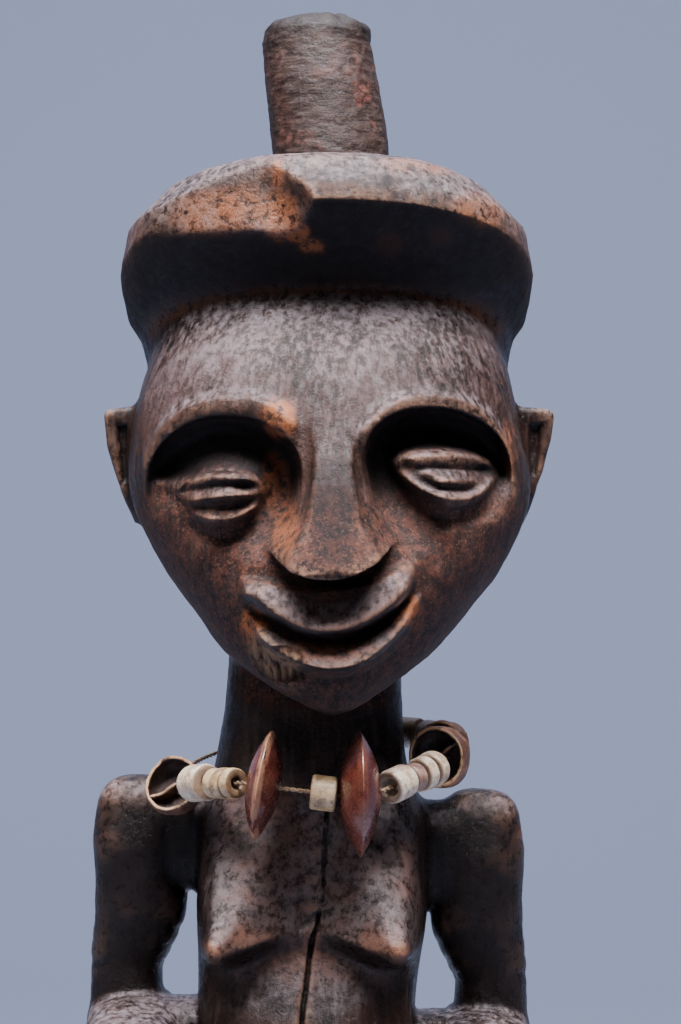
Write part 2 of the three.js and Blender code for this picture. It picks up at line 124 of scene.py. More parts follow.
def near_line(points, reach):
    """The part of the relief near a smooth line: how far away, on which side and how far along it lies."""
    line = smooth_line(points, 6)
    low = np.floor((line.min(0) - reach - (map_x0, map_z0)) / map_step).astype(int)
    high = np.ceil((line.max(0) + reach - (map_x0, map_z0)) / map_step).astype(int)
    low = np.maximum(low, 0)
    window = np.s_[low[0]:high[0], low[1]:high[1]]
    x, z = map_x[window], map_z[window]
    away = np.full(x.shape, 1e6)
    side = np.zeros(x.shape)
    share = np.zeros(x.shape)
    spans = np.linalg.norm(np.diff(line, axis=0), axis=1)
    starts = np.concatenate([[0], np.cumsum(spans)])
    for start, end, span, begun in zip(line, line[1:], spans, starts):
        along = (end - start) / span
        t = np.clip((x - start[0]) * along[0] + (z - start[1]) * along[1], 0, span)
        off_x, off_z = x - start[0] - along[0] * t, z - start[1] - along[1] * t
        distance = np.hypot(off_x, off_z)
        nearer = distance < away
        away = np.where(nearer, distance, away)
        side = np.where(nearer, np.sign(along[0] * off_z - along[1] * off_x), side)
        share = np.where(nearer, (begun + t) / starts[-1], share)
    return window, away, side, share


def taper(share, start, end):
    """Fades a line out over a share of its length at its start and its end."""
    return ease(share / start) * ease((1 - share) / end)


def ridge(points, height, width, start=0.2, end=0.2):
    """A rounded ridge along a line, or a groove where the height is below zero."""
    window, away, _, share = near_line(points, 3 * abs(width))
    relief[window] += height * np.exp(-(away / width) ** 2) * taper(share, start, end)


def plateau(outline, height, edge):
    """A part that stands out inside a closed outline, which runs counterclockwise, with a rounded edge."""
    window, away, side, _ = near_line(outline + outline[:1], 1)
    relief[window] += height * np.sqrt(ease(np.where(side > 0, away, 0) / edge))


def bump(x, z, half, tall, height):
    """A low oval swelling."""
    off = ((map_x - x) / half) ** 2 + ((map_z - z) / tall) ** 2
    relief[:] += height * np.maximum(1 - off, 0) ** 0.6


def socket(edge, depth, wall, spread, low, high, outer, inner):
    """The hollow under a brow: a steep wall inside the edge, and a floor that runs out towards the eye."""
    window, away, side, _ = near_line(edge, 40)
    inside = np.where(side < 0, away, 0)
    hollow = (1 - np.exp(-inside / wall)) * np.exp(-(inside / spread) ** 2)
    hollow *= ease((map_z[window] - low) / (high - low))
    for x, z, fade in ((*edge[0], outer), (*edge[-1], inner)):
        hollow *= ease(np.hypot(map_x[window] - x, map_z[window] - z) / fade)
    relief[window] -= depth * hollow


def lip(rim, height, above, below, hollowed=False):
    """A lip that swells to its rim and falls back sharply under it."""
    window, away, side, share = near_line(rim, above)
    upper = np.maximum(1 - away / above, 0) ** 2 if hollowed else ease(1 - away / above)
    fall = np.where(side > 0, upper, ease(1 - away / below))
    relief[window] += height * fall * taper(share, 0.12, 0.12)


# Brows: a worn crest over each eye, and under it the steep wall of the eye hollow.
left_crest = [(-43, 310), (-42, 313), (-40.4, 317), (-37, 322.8), (-32.2, 327.2), (-27.4, 329.1),
              (-21.3, 330.1), (-14.2, 329.8), (-8, 327), (-3.6, 321.5)]
right_crest = [(10.4, 317), (11.2, 320.5), (13.5, 324.3), (17.3, 327.7), (22, 329.9), (28.1, 330.7),
               (34.5, 330.1), (39.4, 328), (44.2, 323.9), (48, 318.5), (49.6, 313.5)]
left_edge = [(-41, 300), (-41, 307), (-39.8, 314), (-36.4, 319.4), (-31.4, 323.2), (-26.4, 325.2),
             (-20.3, 325.8), (-14.2, 324.8), (-8, 321.8), (-3.8, 317), (-2.6, 310.5), (-4.6, 301),
             (-9, 293.6), (-14, 287)]
right_edge = [(24, 287), (18.6, 294.6), (14.2, 303), (12.2, 310.5), (11.9, 316), (14.2, 322.4), (20.4, 326.6),
              (28.1, 327.7), (35.4, 326.7), (41.7, 323.7), (46.6, 317.6), (48, 308), (47.4, 300)]
socket(left_edge, 12.5, 2.2, 12, 284, 310, 19, 11)
socket(right_edge, 12.5, 2.0, 12, 285, 312, 11, 17)
for crest in (left_crest, right_crest):
    ridge([(x, z - 1.8) for x, z in crest], 1.5, 2.4, 0.15, 0.12)
    ridge(crest, 0.8, 1.0, 0.15, 0.12)

# Left eye: a small almond cut into three narrow lids, with a ridge from its outer corner to the temple.
plateau([(-33, 307), (-30, 303), (-27, 300.4), (-22.2, 299.2), (-17, 300.2), (-12.6, 303.8), (-10.2, 309),
         (-14.8, 312.6), (-21, 313.4), (-27, 312.2)], 2.6, 3.2)
ridge([(-32.6, 309.3), (-27, 311), (-21, 311.5), (-15, 310.9), (-11, 309.4)], 1.8, 1.1, 0.15, 0.2)
ridge([(-30.6, 305.6), (-25, 306.4), (-19, 306.9), (-12.4, 307.4)], 1.6, 0.95, 0.15, 0.2)
ridge([(-29.8, 303.2), (-26.4, 301.6), (-21.6, 301), (-16.6, 302.2), (-12.2, 305.4)], 1.8, 1.05, 0.15, 0.15)
ridge([(-33, 307.4), (-27, 308.6), (-21, 309.2), (-15, 309.1), (-10.8, 308.6)], -1.0, 0.55, 0.15, 0.25)
ridge([(-30.6, 304.3), (-26, 304), (-21, 304), (-16, 304.8), (-12, 306.3)], -0.8, 0.5, 0.15, 0.25)
ridge([(-31.6, 301), (-27.6, 298), (-22.2, 296.8), (-16.6, 297.8), (-12.2, 301.6)], -1.0, 1.3, 0.2, 0.2)
ridge([(-31, 308.4), (-35, 309.8), (-41, 310)], 1.8, 2.0, 0.1, 0.4)

# Right eye: larger and higher, a heavy upper lid over a slit, and a lower lid like the rim of a cup.
plateau([(16.6, 315.4), (19.4, 311.2), (23.2, 307.8), (28.4, 304.6), (33.6, 303.4), (39.2, 305),
         (43.2, 308.6), (45.4, 314.2), (41, 317.4), (33.6, 318.8), (26.6, 318.8), (21, 317.6)], 2.5, 2.6)
ridge([(18.4, 315.2), (24, 316.4), (31, 316.6), (38, 316.2), (44.4, 314.8)], 1.9, 1.7, 0.1, 0.1)
ridge([(22.6, 313.2), (27, 313.3), (34, 313.2), (43.6, 313.1)], -1.1, 0.6, 0.2, 0.12)
ridge([(27.5, 310.6), (31.4, 310.3), (35.4, 310.2), (39.6, 310.9)], 1.2, 1.0, 0.25, 0.25)
ridge([(24.4, 311.3), (28.6, 308.9), (33, 308.2), (37, 308.3), (40.8, 310.2)], -1.0, 0.6, 0.2, 0.2)
ridge([(18.6, 314), (22.2, 310.4), (26.6, 307.6), (32.6, 305.9), (38.2, 306.6), (42.8, 310.4), (43.8, 313)],
      2.0, 1.35, 0.12, 0.12)
ridge([(20.6, 307), (26.6, 302.6), (33.6, 300.8), (40.4, 302.4), (45, 307.2)], -1.1, 1.3, 0.2, 0.2)

# Lips: each swells to a worn rim, and the mouth is the dark gap between them.
upper_rim = [(-17.6, 286.8), (-16, 283.6), (-13.2, 280.9), (-9.3, 278.3), (-3.7, 275.6), (2.3, 274.4),
             (9.3, 275.3), (15.6, 278.4), (20.4, 282), (23.2, 286), (24, 290)]
lower_rim = [(-15, 278), (-11.8, 273.6), (-7.6, 270.2), (-1.4, 267.7), (4.7, 266.8), (10.9, 268.1),
             (15.6, 271), (20.4, 275.6), (24, 281.2)]
mouth_gap = [(-16.4, 281.2), (-11.8, 277), (-3.7, 273.8), (3.3, 272.7), (10.9, 273.7), (17.9, 277),
             (23, 282.4)]
plateau([(-17.8, 285.6), (-14.6, 281.8), (-9.5, 278), (-3.7, 275), (2.3, 273.8), (9.3, 274.7), (16.2, 278),
         (21.4, 282.2), (24.2, 287), (24.4, 290.8), (21, 291.6), (14, 288), (4, 286.2), (-6, 286.6),
         (-13.4, 288), (-17.2, 287.8)], 3.4, 2.2)
lip(upper_rim, 4.8, 8.5, 1.0)
plateau([(-15.8, 279), (-13.8, 273.6), (-9, 268), (-1.8, 265), (4.8, 264), (11.6, 265.4), (17.6, 268.8),
         (22.8, 274.2), (26, 283.2), (23.2, 283), (17.9, 278), (10.9, 274.8), (3.3, 273.8), (-3.7, 274.9),
         (-11.8, 278.2)], 2.4, 1.4)
lip(lower_rim, 4.6, 7, 1.7, True)
ridge(mouth_gap, -1.2, 0.6, 0.1, 0.1)
ridge([(-20, 284), (-19.8, 288), (-18, 292)], -0.6, 1.4)
ridge([(26.6, 284), (27.6, 288.6), (26.8, 293)], -0.6, 1.4)

# Handling has rounded all of the face's carving a little, and the corners of the mouth most.
for x, z, reach, times in ((2, 300, 62, 2), (-17, 283, 5, 14), (25, 285, 4, 8)):
    share = ease(1.4 - 1.4 * np.hypot(map_x - x, map_z - z) / reach)
    for _ in range(times):
        around = sum(np.roll(relief, step, axis) for step in (-1, 1) for axis in (0, 1)) / 4
        relief += share * 0.8 * (around - relief)

# Breasts: broad wedges whose top planes slope forward and down to a lower edge, highest at the tip.
breast_tips = ((-1, -24.3), (1, 20.5))
breast_depth, breast_top = 11, 240
outer_reach, inner_reach = 6.5, 17.0
for side, tip_x in breast_tips:
    out = side * (map_x - tip_x)
    inward = np.minimum(out, 0)
    across = np.exp(-np.abs(out / np.where(out > 0, outer_reach, inner_reach)) ** 3)
    edge_z = 197 + 0.035 * inward ** 2 - 0.0012 * np.abs(inward) ** 3
    slope = np.clip((breast_top - map_z) / (breast_top - edge_z), 0, 1) ** 1.5
    relief += breast_depth * across * slope * ease((map_z - edge_z + 5.5) / 6.5)

# A split of wood has come away under the viewer's left of the lower lip, leaving upright fibres.
bump(-7.6, 267.4, 6.4, 4.6, -2.2)
for step, depth in enumerate((0.9, 0.5, 1.1, 0.7, 0.6, 0.9)):
    ridge([(-12.4 + 1.9 * step, 272.6 - 0.7 * step), (-12.2 + 1.9 * step, 267), (-11.6 + 1.9 * step, 262.6)],
          -depth, 0.45, 0.1, 0.3)

# Fissures in the forehead, and the long drying crack down the front, which jumps aside at a knot.
ridge([(11.4, 343.5), (10.2, 341.4), (10.9, 338.6), (10, 335), (11.2, 332.6)], -0.5, 0.3)
ridge([(15, 342), (15.9, 339.4), (15.5, 336.6), (16.9, 333)], -0.45, 0.3)
ridge([(5.6, 250), (5.5, 244), (5.2, 238)], -0.5, 0.25)
ridge([(3.6, 236), (3.3, 231.8), (2.8, 225), (2.4, 218.2), (2.3, 213), (2, 208)], -1.5, 0.22, 0.1, 0.03)
ridge([(1.2, 206.6), (0.8, 203), (-0.2, 200.6), (-0.8, 197), (-1.3, 194), (-1.8, 189), (-2.6, 183.8),
       (-3.4, 172), (-3.2, 160)], -2.6, 0.38, 0.02, 0.3)
ridge([(-8, 205.2), (-5.4, 208.4), (-1, 209.4), (3, 208)], -0.4, 0.5, 0.2, 0.3)
ridge([(2.6, 206.6), (-1, 204.4), (-4.4, 202.4), (-7.4, 203.2)], -0.5, 0.5, 0.1, 0.3)
ridge([(-3.6, 206.6), (-1, 206.8), (1.6, 207.6)], 0.4, 0.8)
bump(-3.4, 206.2, 6.4, 4, -0.4)

# Fingers, laid side by side on the belly.
for sign in (-1, 1):
    for gap in range(3):
        finger_z = 161.5 - 4.6 * gap - 3.5 * (sign > 0)
        ridge([(sign * 23, finger_z + 2), (sign * 15, finger_z + 0.8), (sign * 5, finger_z - 1)], -1.7, 0.7)


def relief_at(x, z):
    """The relief at any place, read between the four nearest points of the map."""
    across = np.clip((x - map_x0) / map_step, 0, relief.shape[0] - 1.001)
    up = np.clip((z - map_z0) / map_step, 0, relief.shape[1] - 1.001)
    i, j = across.astype(int), up.astype(int)
    across, up = across - i, up - j
    return ((relief[i, j] * (1 - across) + relief[i + 1, j] * across) * (1 - up)
            + (relief[i, j + 1] * (1 - across) + relief[i + 1, j + 1] * across) * up)


def column(levels, power, smooth=True):
    """A body of level ovals, squarer as the power grows. A row is z, half width, x, front, back, middle."""
    rows = np.array(levels, float)
    slopes = np.gradient(rows[:, 1:], rows[:, 0], axis=0)
    heights = np.linspace(rows[0, 0], rows[-1, 0], 300)
    low = np.clip(np.searchsorted(rows[:, 0], heights) - 1, 0, len(rows) - 2)
    span = (rows[low + 1, 0] - rows[low, 0])[:, None]
    t = (heights[:, None] - rows[low, :1]) / span
    before, after = rows[low, 1:], rows[low + 1, 1:]
    table = before * (1 - t) + after * t
    if smooth:
        table = (before * (2 * t ** 3 - 3 * t ** 2 + 1) + slopes[low] * span * (t ** 3 - 2 * t ** 2 + t)
                 + after * (3 * t ** 2 - 2 * t ** 3) + slopes[low + 1] * span * (t ** 3 - t ** 2))

    def field(x, y, z):
        level = np.clip(z, heights[0], heights[-1])
        half, centre, front, back, middle = (np.interp(level, heights, one) for one in table.T)
        off_x, off_y = x - centre, y - middle
        reach = np.where(off_y < 0, middle - front, back - middle)
        share = ((np.abs(off_x) / half) ** power + (np.abs(off_y) / reach) ** power) ** (1 / power)
        radius = np.hypot(off_x, off_y)
        edge = np.where(share > 1e-3, radius / np.maximum(share, 1e-3), half)
        return np.maximum(radius - edge, np.maximum(z - heights[-1], heights[0] - z))
    return field


def limb(stations, side, power=2.0, caps=(3.0, 3.0), steps=4):
    """A body round a smooth line. A station is x, y, z, the half width along the side and the half depth.
    Caps say how far its two rounded ends reach past the line."""
    line = smooth_line(np.array(stations, float)[:, :3], steps)
    places = np.linspace(0, len(stations) - 1, len(line))
    wides, deeps = (np.interp(places, range(len(stations)), [row[k] for row in stations]) for k in (3, 4))
    side = np.array(side, float)

    def field(x, y, z):
        best = np.full(x.shape, 1e3)
        for i in range(len(line) - 1):
            start, along = line[i], line[i + 1] - line[i]
            span = np.linalg.norm(along)
            along = along / span
            across = side - along * side.dot(along)
            across = across / np.linalg.norm(across)
            over = np.cross(along, across)
            off_x, off_y, off_z = x - start[0], y - start[1], z - start[2]
            run = off_x * along[0] + off_y * along[1] + off_z * along[2]
            t = np.clip(run, 0, span)
            share_of_way = t / span
            wide = wides[i] + (wides[i + 1] - wides[i]) * share_of_way
            deep = deeps[i] + (deeps[i + 1] - deeps[i]) * share_of_way
            u = off_x * across[0] + off_y * across[1] + off_z * across[2]
            v = off_x * over[0] + off_y * over[1] + off_z * over[2]
            w = run - t
            least = np.minimum(wide, deep)
            end = least
            if i == 0:
                end = np.where(w < 0, caps[0], end)
            if i == len(line) - 2:
                end = np.where(w > 0, caps[1], end)
            share = ((np.abs(u) / wide) ** power + (np.abs(v) / deep) ** power + (np.abs(w) / end) ** power)
            share = share ** (1 / power)
            distance = np.sqrt(u * u + v * v + w * w)
            depth = np.where(share < 0.05, -0.9 * least, distance * (1 - 1 / np.maximum(share, 0.05)))
            best = np.minimum(best, depth)
        return best
    return field


ACROSS_X = (1, 0, 0)
ACROSS_Y = (0, 1, 0)
head_form = column([
    (254.7, 0.6, 4.6, -44, -41.4, -43), (255.4, 2.8, 4.6, -46, -39.5, -42.6),
    (256.6, 5.6, 4.6, -47.8, -36, -42), (260, 12, 3.9, -50.5, -24, -36), (267.5, 23.6, 3.6, -53, 5, -18),
    (279, 34, 4.3, -52.5, 27, -10), (295, 45, 4.5, -51.5, 37, -6), (308, 49.7, 4, -50, 42, -4),
    (323, 48.5, 3, -48.5, 43, -2), (340, 44.6, 3.2, -42, 41, 0), (356, 39, 3.2, -28, 38, 3),
    (364, 34, 3.2, -20, 33, 4)], 2.25)
torso_form = column([
    (106, 20, 0, -14, 15, 0), (122, 29, 0, -20, 26, 0), (140, 30.5, 0, -28, 25, 0),
    (160, 29, -0.5, -36, 20, 0), (180, 27, -2, -34, 19, 0), (200, 28.3, -0.8, -27, 21, 0),
    (215, 28.5, -0.3, -26, 22, 0), (228, 28, -0.2, -25.5, 22, 0), (240, 24, -0.8, -24, 21, 0),
    (255, 22.2, -0.3, -22.5, 20, 0), (285, 21, 0, -21, 19, 0)], 2.7)
# The nose at a height: the half width of its front, how fast it widens backwards, and where its front is.
nose_heights = [284, 291, 293.5, 296, 301, 306, 313, 320, 334, 340, 345]
nose_fronts = [9.8, 9.6, 9.1, 7.8, 5.9, 5.1, 4.6, 4.6, 5.1, 5.2, 5.2]
nose_flares = [0.46, 0.46, 0.46, 0.44, 0.36, 0.28, 0.2, 0.16, 0.12, 0.12, 0.12]
nose_depths = [-67.4, -65, -63.9, -62.8, -60.2, -57.6, -54.2, -50.6, -44.4, -39.6, -35]
nose_middle = 4.8


def nose_form(x, y, z):
    """A straight wedge with flat flanks that flare to the nostrils, cut off below in a shallow curve."""
    half, flare, front = (np.interp(z, nose_heights, row) for row in (nose_fronts, nose_flares, nose_depths))
    off = np.abs(x - nose_middle)
    flank = (off - half - flare * (y - front)) / np.sqrt(1 + flare ** 2)
    wedge = cut(flank, -(front - y + 0.012 * off ** 2), 1.5)
    wedge = np.maximum(wedge, y + 38)
    underside = 287.4 + 0.024 * (x - 3) ** 2 + 0.14 * (y + 64)
    return cut(wedge, (z - underside) * 0.95, 0.6)


headdress_levels = [
    (333, 40, 3, -14, 37, 5), (342, 45.4, 3, -26, 41, 5), (347, 47.4, 3, -32, 44, 5),
    (351, 50, 3, -37, 47, 5), (356, 51.2, 3, -42, 50, 5), (361, 51.8, 3, -46, 51.3, 5),
    (371, 50.2, 3, -44.6, 50.3, 5), (379.5, 42, 3, -37.5, 43, 5), (382.2, 37, 3, -32, 38, 5),
    (385, 20, 3, -12, 26, 5)]
headdress_lift = [0.4, 0.42, 0.40, 0.38, 0.35, 0.33, 0.19, 0.2, 0.2, 0.2]
headdress_column = column(headdress_levels, 2.15, False)


def headdress_form(x, y, z):
    """The rim rises to the front, more steeply on its underside than on its top."""
    level = z
    for _ in range(4):
        lift = np.interp(level, [row[0] for row in headdress_levels], headdress_lift)
        level = z + np.where(y < 5, lift, np.minimum(lift, 0.2)) * (y - 5)
    return headdress_column(x, y, level) * 0.8


def worn_border(x, y, z):
    """The slope where the rim's border is knocked off at the viewer's left. What lay in front is gone."""
    facet = -38.8 + 0.0145 * (x + 10) ** 2 + 0.15 * (z - 369.3)
    return y - facet + 0.07 * np.maximum(x + 12 - 0.35 * (378 - z), 0) ** 2


base_top = 26


def base_form(x, y, z):
    """The low round block underfoot, slightly wider at mid height, with a worn upper edge."""
    radius = np.interp(z, [0, 3, 13, 22, base_top], [49, 49.8, 51, 49.2, 46.5])
    return np.maximum(np.maximum(np.hypot(x, y) - radius, z - base_top), -z)


# Every body of wood: its field, the middle and half size of the space it lies in, its blend, and whether it
# takes the relief.
forms = [(base_form, (0, 0, 13), (56, 56, 20), 0.01, False)]


def leg_forms(side):
    """One bent leg, and its foot flat on the base."""
    shank = limb([(side * 13, 2, 126, 14, 17), (side * 17, -3, 108, 16, 17), (side * 20, -11, 84, 13.5, 13.5),
                  (side * 20, 1, 66, 13.5, 15), (side * 20, 4, 48, 10.5, 11),
                  (side * 20, 2, 31, 12, 14)], ACROSS_X)
    foot = limb([(side * 20, 21, 29, 8, 6), (side * 20, 14, 31, 12, 11), (side * 20.5, -4, 32, 13, 12),
                 (side * 21.5, -24, 28, 14.5, 7.5), (side * 21.5, -39, 26, 13, 5)], ACROSS_X, 2.6)
    return [(shank, (side * 20, 0, 80), (24, 30, 66), 6, False),
            (foot, (side * 21, -8, 30), (20, 38, 20), 5, False)]


def breast_form(side, tip_x):
    """A blunt cone that points forward, outward and down, with a small worn nipple."""
    tip = np.array([tip_x, -40.6, 197.2])
    root = np.array([side * 9.5, -2, 216])
    along = (tip - root) / np.linalg.norm(tip - root)
    across = np.array(ACROSS_X) - along * along[0]
    across /= np.linalg.norm(across)
    over = np.cross(along, across)
    length = np.linalg.norm(tip - root)

    def field(x, y, z):
        off = np.stack([x - root[0], y - root[1], z - root[2]])
        run, u, v = (np.tensordot(axis, off, 1) for axis in (along, across, over))
        share = np.clip(run / length, 0, 1)
        radius = np.interp(share, [0, 0.4, 0.7, 0.88, 0.94, 0.975, 1], [19, 13.6, 8.2, 4.4, 3.4, 2.7, 1.2])
        oval = (np.abs(u / 0.74) ** 2.3 + np.abs(v / 1.02) ** 2.3) ** (1 / 2.3)
        return np.maximum((oval - radius) * 0.82, run - length)
    return field


def arm_forms(side, drop, inset):
    """A shoulder, an arm and a forearm on the belly. The drop and the inset set the uneven shoulders."""
    def x(value):
        return side * (value - inset)

    yoke = limb([(side * 16, 2, 221 - drop, 12, 14), (side * 31, 2.5, 221.5 - drop, 10, 13),
                 (x(41), 3, 223 - drop, 8.5, 12), (x(47), 3, 225 - drop, 5, 7)], ACROSS_Y, 3.0)
    upper = limb([(x(44.4), 3, 229.4 - drop, 10, 9.8), (x(44.2), 3, 220 - drop, 11.5, 11),
                  (x(43.6), 3, 206 - drop, 11.6, 10.5),
                  (x(47), 4, 191 - drop, 8.8, 9.5), (x(47), 4, 176 - drop, 9.5, 10),
                  (x(47), 4, 168 - drop, 6, 6)], ACROSS_X, 2.6, (7.0, 2.0))
    forearm = limb([(x(46), 15, 174 - drop, 7, 6), (x(45.5), 10, 174 - drop, 11.5, 9.5),
                    (x(44.5), -8, 172.5 - drop, 12.5, 10.5), (x(43), -26, 170 - drop, 11, 9),
                    (x(33), -41, 165 - drop, 8.5, 7), (x(20), -44, 158 - drop, 7.5, 9),
                    (x(10), -42, 152 - drop, 3.5, 6)], ACROSS_X, 2.6, (2.0, 2.0))
    web = limb([(side * 18, -2, 173 - drop, 12, 9), (x(40), -2, 173 - drop, 12, 9.5)], ACROSS_Y, 2.8)
    return [(yoke, (side * 30, 2, 222), (34, 24, 24), 2, False),
            (upper, (side * 45, 3, 202), (22, 22, 46), 1.5, False),
            (forearm, (side * 34, -16, 165), (40, 46, 34), 2, True),
            (web, (side * 30, -2, 171), (36, 22, 24), 1.5, False)]


def ear_form(side, centre):
    """A small flange, straight on top and narrowing downward, with a cut groove in its front."""
    top, height, tip_width = 329.4, 29, 7.6

    def field(x, y, z):
        out = side * (x - centre)
        down = top - z
        edge = tip_width - tip_width * np.clip(down / 28, 0, 1.2) ** 1.7
        flange = cut(cut(out - edge, 6 + out, 2.0), down - 0.1 * out, 2.4)
        flange = np.maximum(cut(flange, 3.4 - np.abs(y - 2.5), 1.8), down - height)
        groove = np.maximum(np.maximum(np.abs(out - 3.1 + 0.1 * down) - 1.1, y - 0.6), np.abs(down - 12) - 7)
        return cut(flange, groove, 1.8)
    return field


def horn_axis(z):
    """Where the middle of the horn is at a height: it leans back and to the viewer's left."""
    heights = [379, 396, 411, 422, 428]
    middle_x = np.interp(z, heights, [4.8, 3.7, 1.8, 0.2, 0.6])
    middle_y = np.interp(z, heights, [8.5, 10.5, 12.5, 14.5, 15.5])
    return middle_x, middle_y


def horn_socket(x, y, z):
    """The round hole in the crown that the horn is set in."""
    radius, floor = 15.3, 378.7
    middle_x, middle_y = horn_axis(z)
    return np.maximum(np.hypot(x - middle_x, y - middle_y) - radius, floor - z)


for side in (-1, 1):
    forms += leg_forms(side)
navel = [(-0.5, -30, 150, 5, 5), (-0.5, -37, 149, 3.4, 3.4), (-0.5, -39, 148.6, 1.6, 1.6)]
forms += [(torso_form, (0, 0, 195), (38, 42, 96), 5, True),
          (limb(navel, ACROSS_X), (0, -35, 150), (12, 12, 12), 3, False)]
forms += arm_forms(-1, 0, 0) + arm_forms(1, 3.5, 3.1)
for side, tip_x in breast_tips:
    forms.append((breast_form(side, tip_x), (17.5 * side - 0.5, -26, 204), (26, 28, 28), 9, False))
forms += [(head_form, (3, -2, 310), (58, 60, 62), 4, True),
          (nose_form, (4.6, -52, 308), (26, 26, 34), 2.2, False),
          (ear_form(-1, -45.5), (-48, 2, 315), (16, 14, 22), 2.5, False),
          (ear_form(1, 52.5), (54, 2, 315), (16, 14, 22), 2.5, False),
          (headdress_form, (3, 2, 362), (60, 60, 44), 4, False)]


def figure_field(places):
    """How far each place is from the surface of the wood, below zero inside."""
    x, y, z = places.T
    shifted = y + relief_at(x, z) * falling(y, -4, 14)
    body = np.full(x.shape, 30.0)
    for form, middle, half, blend, has_relief in forms:
        near = ((np.abs(x - middle[0]) < half[0]) & (np.abs(y - middle[1]) < half[1])
                & (np.abs(z - middle[2]) < half[2]))
        depth = form(x[near], (shifted if has_relief else y)[near], z[near])
        body[near] = join(body[near], depth, blend)
    rim_height = 350
    body = cut(body, worn_border(x, y, z) + np.where(z > rim_height, 0, 99), 0.8)
    return cut(body, horn_socket(x, y, z), 0.2)


def lattice(spans):
    """Places along one axis: each span is a start and a step, and the last start is where it ends."""
    runs = [np.arange(start, after, step) for (start, step), (after, _) in zip(spans, spans[1:])]
    places = np.concatenate(runs)
    spare = -(len(places) - 1) % 8
    return np.concatenate([places, places[-1] + spans[-1][1] * np.arange(1, spare + 1)])


def skin_of(field, axes):
    """The surface where a field is zero, as points and quads, worked out finely only where it lies."""
    most_at_once = 400000
    sizes = [len(axis) for axis in axes]
    values, wanted = None, None
    for stride, finer in ((8, 2), (2, 1), (1, None)):
        steps = [axis[::stride] for axis in axes]
        if wanted is None:
            wanted = np.ones([len(step) for step in steps], bool)
            values = np.empty(wanted.shape, np.float32)
        cells = np.nonzero(wanted)
        places = np.stack([step[cell] for step, cell in zip(steps, cells)], axis=1)
        for start in range(0, len(places), most_at_once):
            part = slice(start, start + most_at_once)
            values[tuple(cell[part] for cell in cells)] = field(places[part])
        if finer is None:
            break
        ratio = stride // finer
        band = np.abs(values) < 1.9 * stride * max(np.diff(axis).max() for axis in axes)
        touched = np.zeros([n - 1 for n in values.shape], bool)
        for corner in np.ndindex(2, 2, 2):
            touched |= band[tuple(slice(c, c + n) for c, n in zip(corner, touched.shape))]
        for axis in range(3):
            touched = touched.repeat(ratio, axis)
            values = values.repeat(ratio, axis)
        values = values[tuple(slice(0, n + 1) for n in touched.shape)]
        wanted = np.zeros([n + 1 for n in touched.shape], bool)
        for corner in np.ndindex(2, 2, 2):
            wanted[tuple(slice(c, c + n) for c, n in zip(corner, touched.shape))] |= touched
    inside = values < 0
    count = np.zeros([n - 1 for n in sizes], np.uint8)
    for corner in np.ndindex(2, 2, 2):
        count += inside[tuple(slice(c, c + n) for c, n in zip(corner, count.shape))]
    cells = np.nonzero((count > 0) & (count < 8))
    numbers = np.full(count.shape, -1, np.int32)
    numbers[cells] = np.arange(len(cells[0]))
    total = np.zeros((len(cells[0]), 3))
    crossings = np.zeros(len(cells[0]))
    for axis in range(3):
        others = [k for k in range(3) if k != axis]
        for first, second in np.ndindex(2, 2):
            start = [cells[0], cells[1], cells[2]]
            start[others[0]] = start[others[0]] + first
            start[others[1]] = start[others[1]] + second
            end = list(start)
            end[axis] = end[axis] + 1
            low, high = values[tuple(start)], values[tuple(end)]
            crosses = (low < 0) != (high < 0)
            t = np.where(crosses, low / np.where(crosses, low - high, 1), 0)
            place = np.stack([axes[k][start[k]] for k in range(3)], axis=1)
            place[:, axis] += t * (axes[axis][end[axis]] - axes[axis][start[axis]])
            total[crosses] += place[crosses]
            crossings += crosses
    points = total / crossings[:, None]
    quads = []
    for axis in range(3):
        others = [(axis + 1) % 3, (axis + 2) % 3]
        low = inside[tuple(slice(0, -1) if k == axis else slice(1, -1) for k in range(3))]
        high = inside[tuple(slice(1, None) if k == axis else slice(1, -1) for k in range(3))]
        for solid_first in (True, False):
            edge = list(np.nonzero(low & ~high if solid_first else ~low & high))
            for k in others:
                edge[k] = edge[k] + 1
            around = []
            for first, second in ((-1, -1), (0, -1), (0, 0), (-1, 0)):
                cell = list(edge)
                cell[others[0]] = cell[others[0]] + first
                cell[others[1]] = cell[others[1]] + second
                around.append(numbers[tuple(cell)])
            quads.append(np.stack(around if solid_first else around[::-1], axis=1))
    return points, np.vstack(quads)


def hills(places, seed):
    """Smooth noise from -1 to 1 at places given in its own cells."""
    low = np.floor(places).astype(np.int64)
    offset = places - low
    weight = offset * offset * (3 - 2 * offset)
    total = np.zeros(len(places))
    for corner in np.ndindex(2, 2, 2):
        share = np.prod(np.where(corner, weight, 1 - weight), axis=1)
        total += share * (scattered(low + corner, seed) * 2 - 1)
    return total


def scattered(cells, seed):
    """A number from 0 to 1 for each cell of a lattice, the same each time."""
    mixed = (cells * (73856093, 19349663, 83492791)).sum(1) + seed * 2654435761
    mixed = ((mixed ^ (mixed >> 13)) * 1274126177) & 0x7fffffff
    mixed = ((mixed ^ (mixed >> 15)) * 668265263) & 0x7fffffff
    return ((mixed >> 7) & 0xffff) / 65535


def tool_marks(places, size, seed):
    """Shallow overlapping scoops, as an adze leaves them: 0 in the middle of each and near 1 at its edges."""
    places = places / size
    low = np.floor(places).astype(np.int64)
    nearest = np.full(len(places), 9.0)
    for step in np.ndindex(3, 3, 3):
        cells = low + step - 1
        centres = cells + np.stack([scattered(cells, seed + k) for k in range(3)], 1)
        nearest = np.minimum(nearest, ((places - centres) ** 2).sum(1))
    return np.minimum(nearest, 1.2)


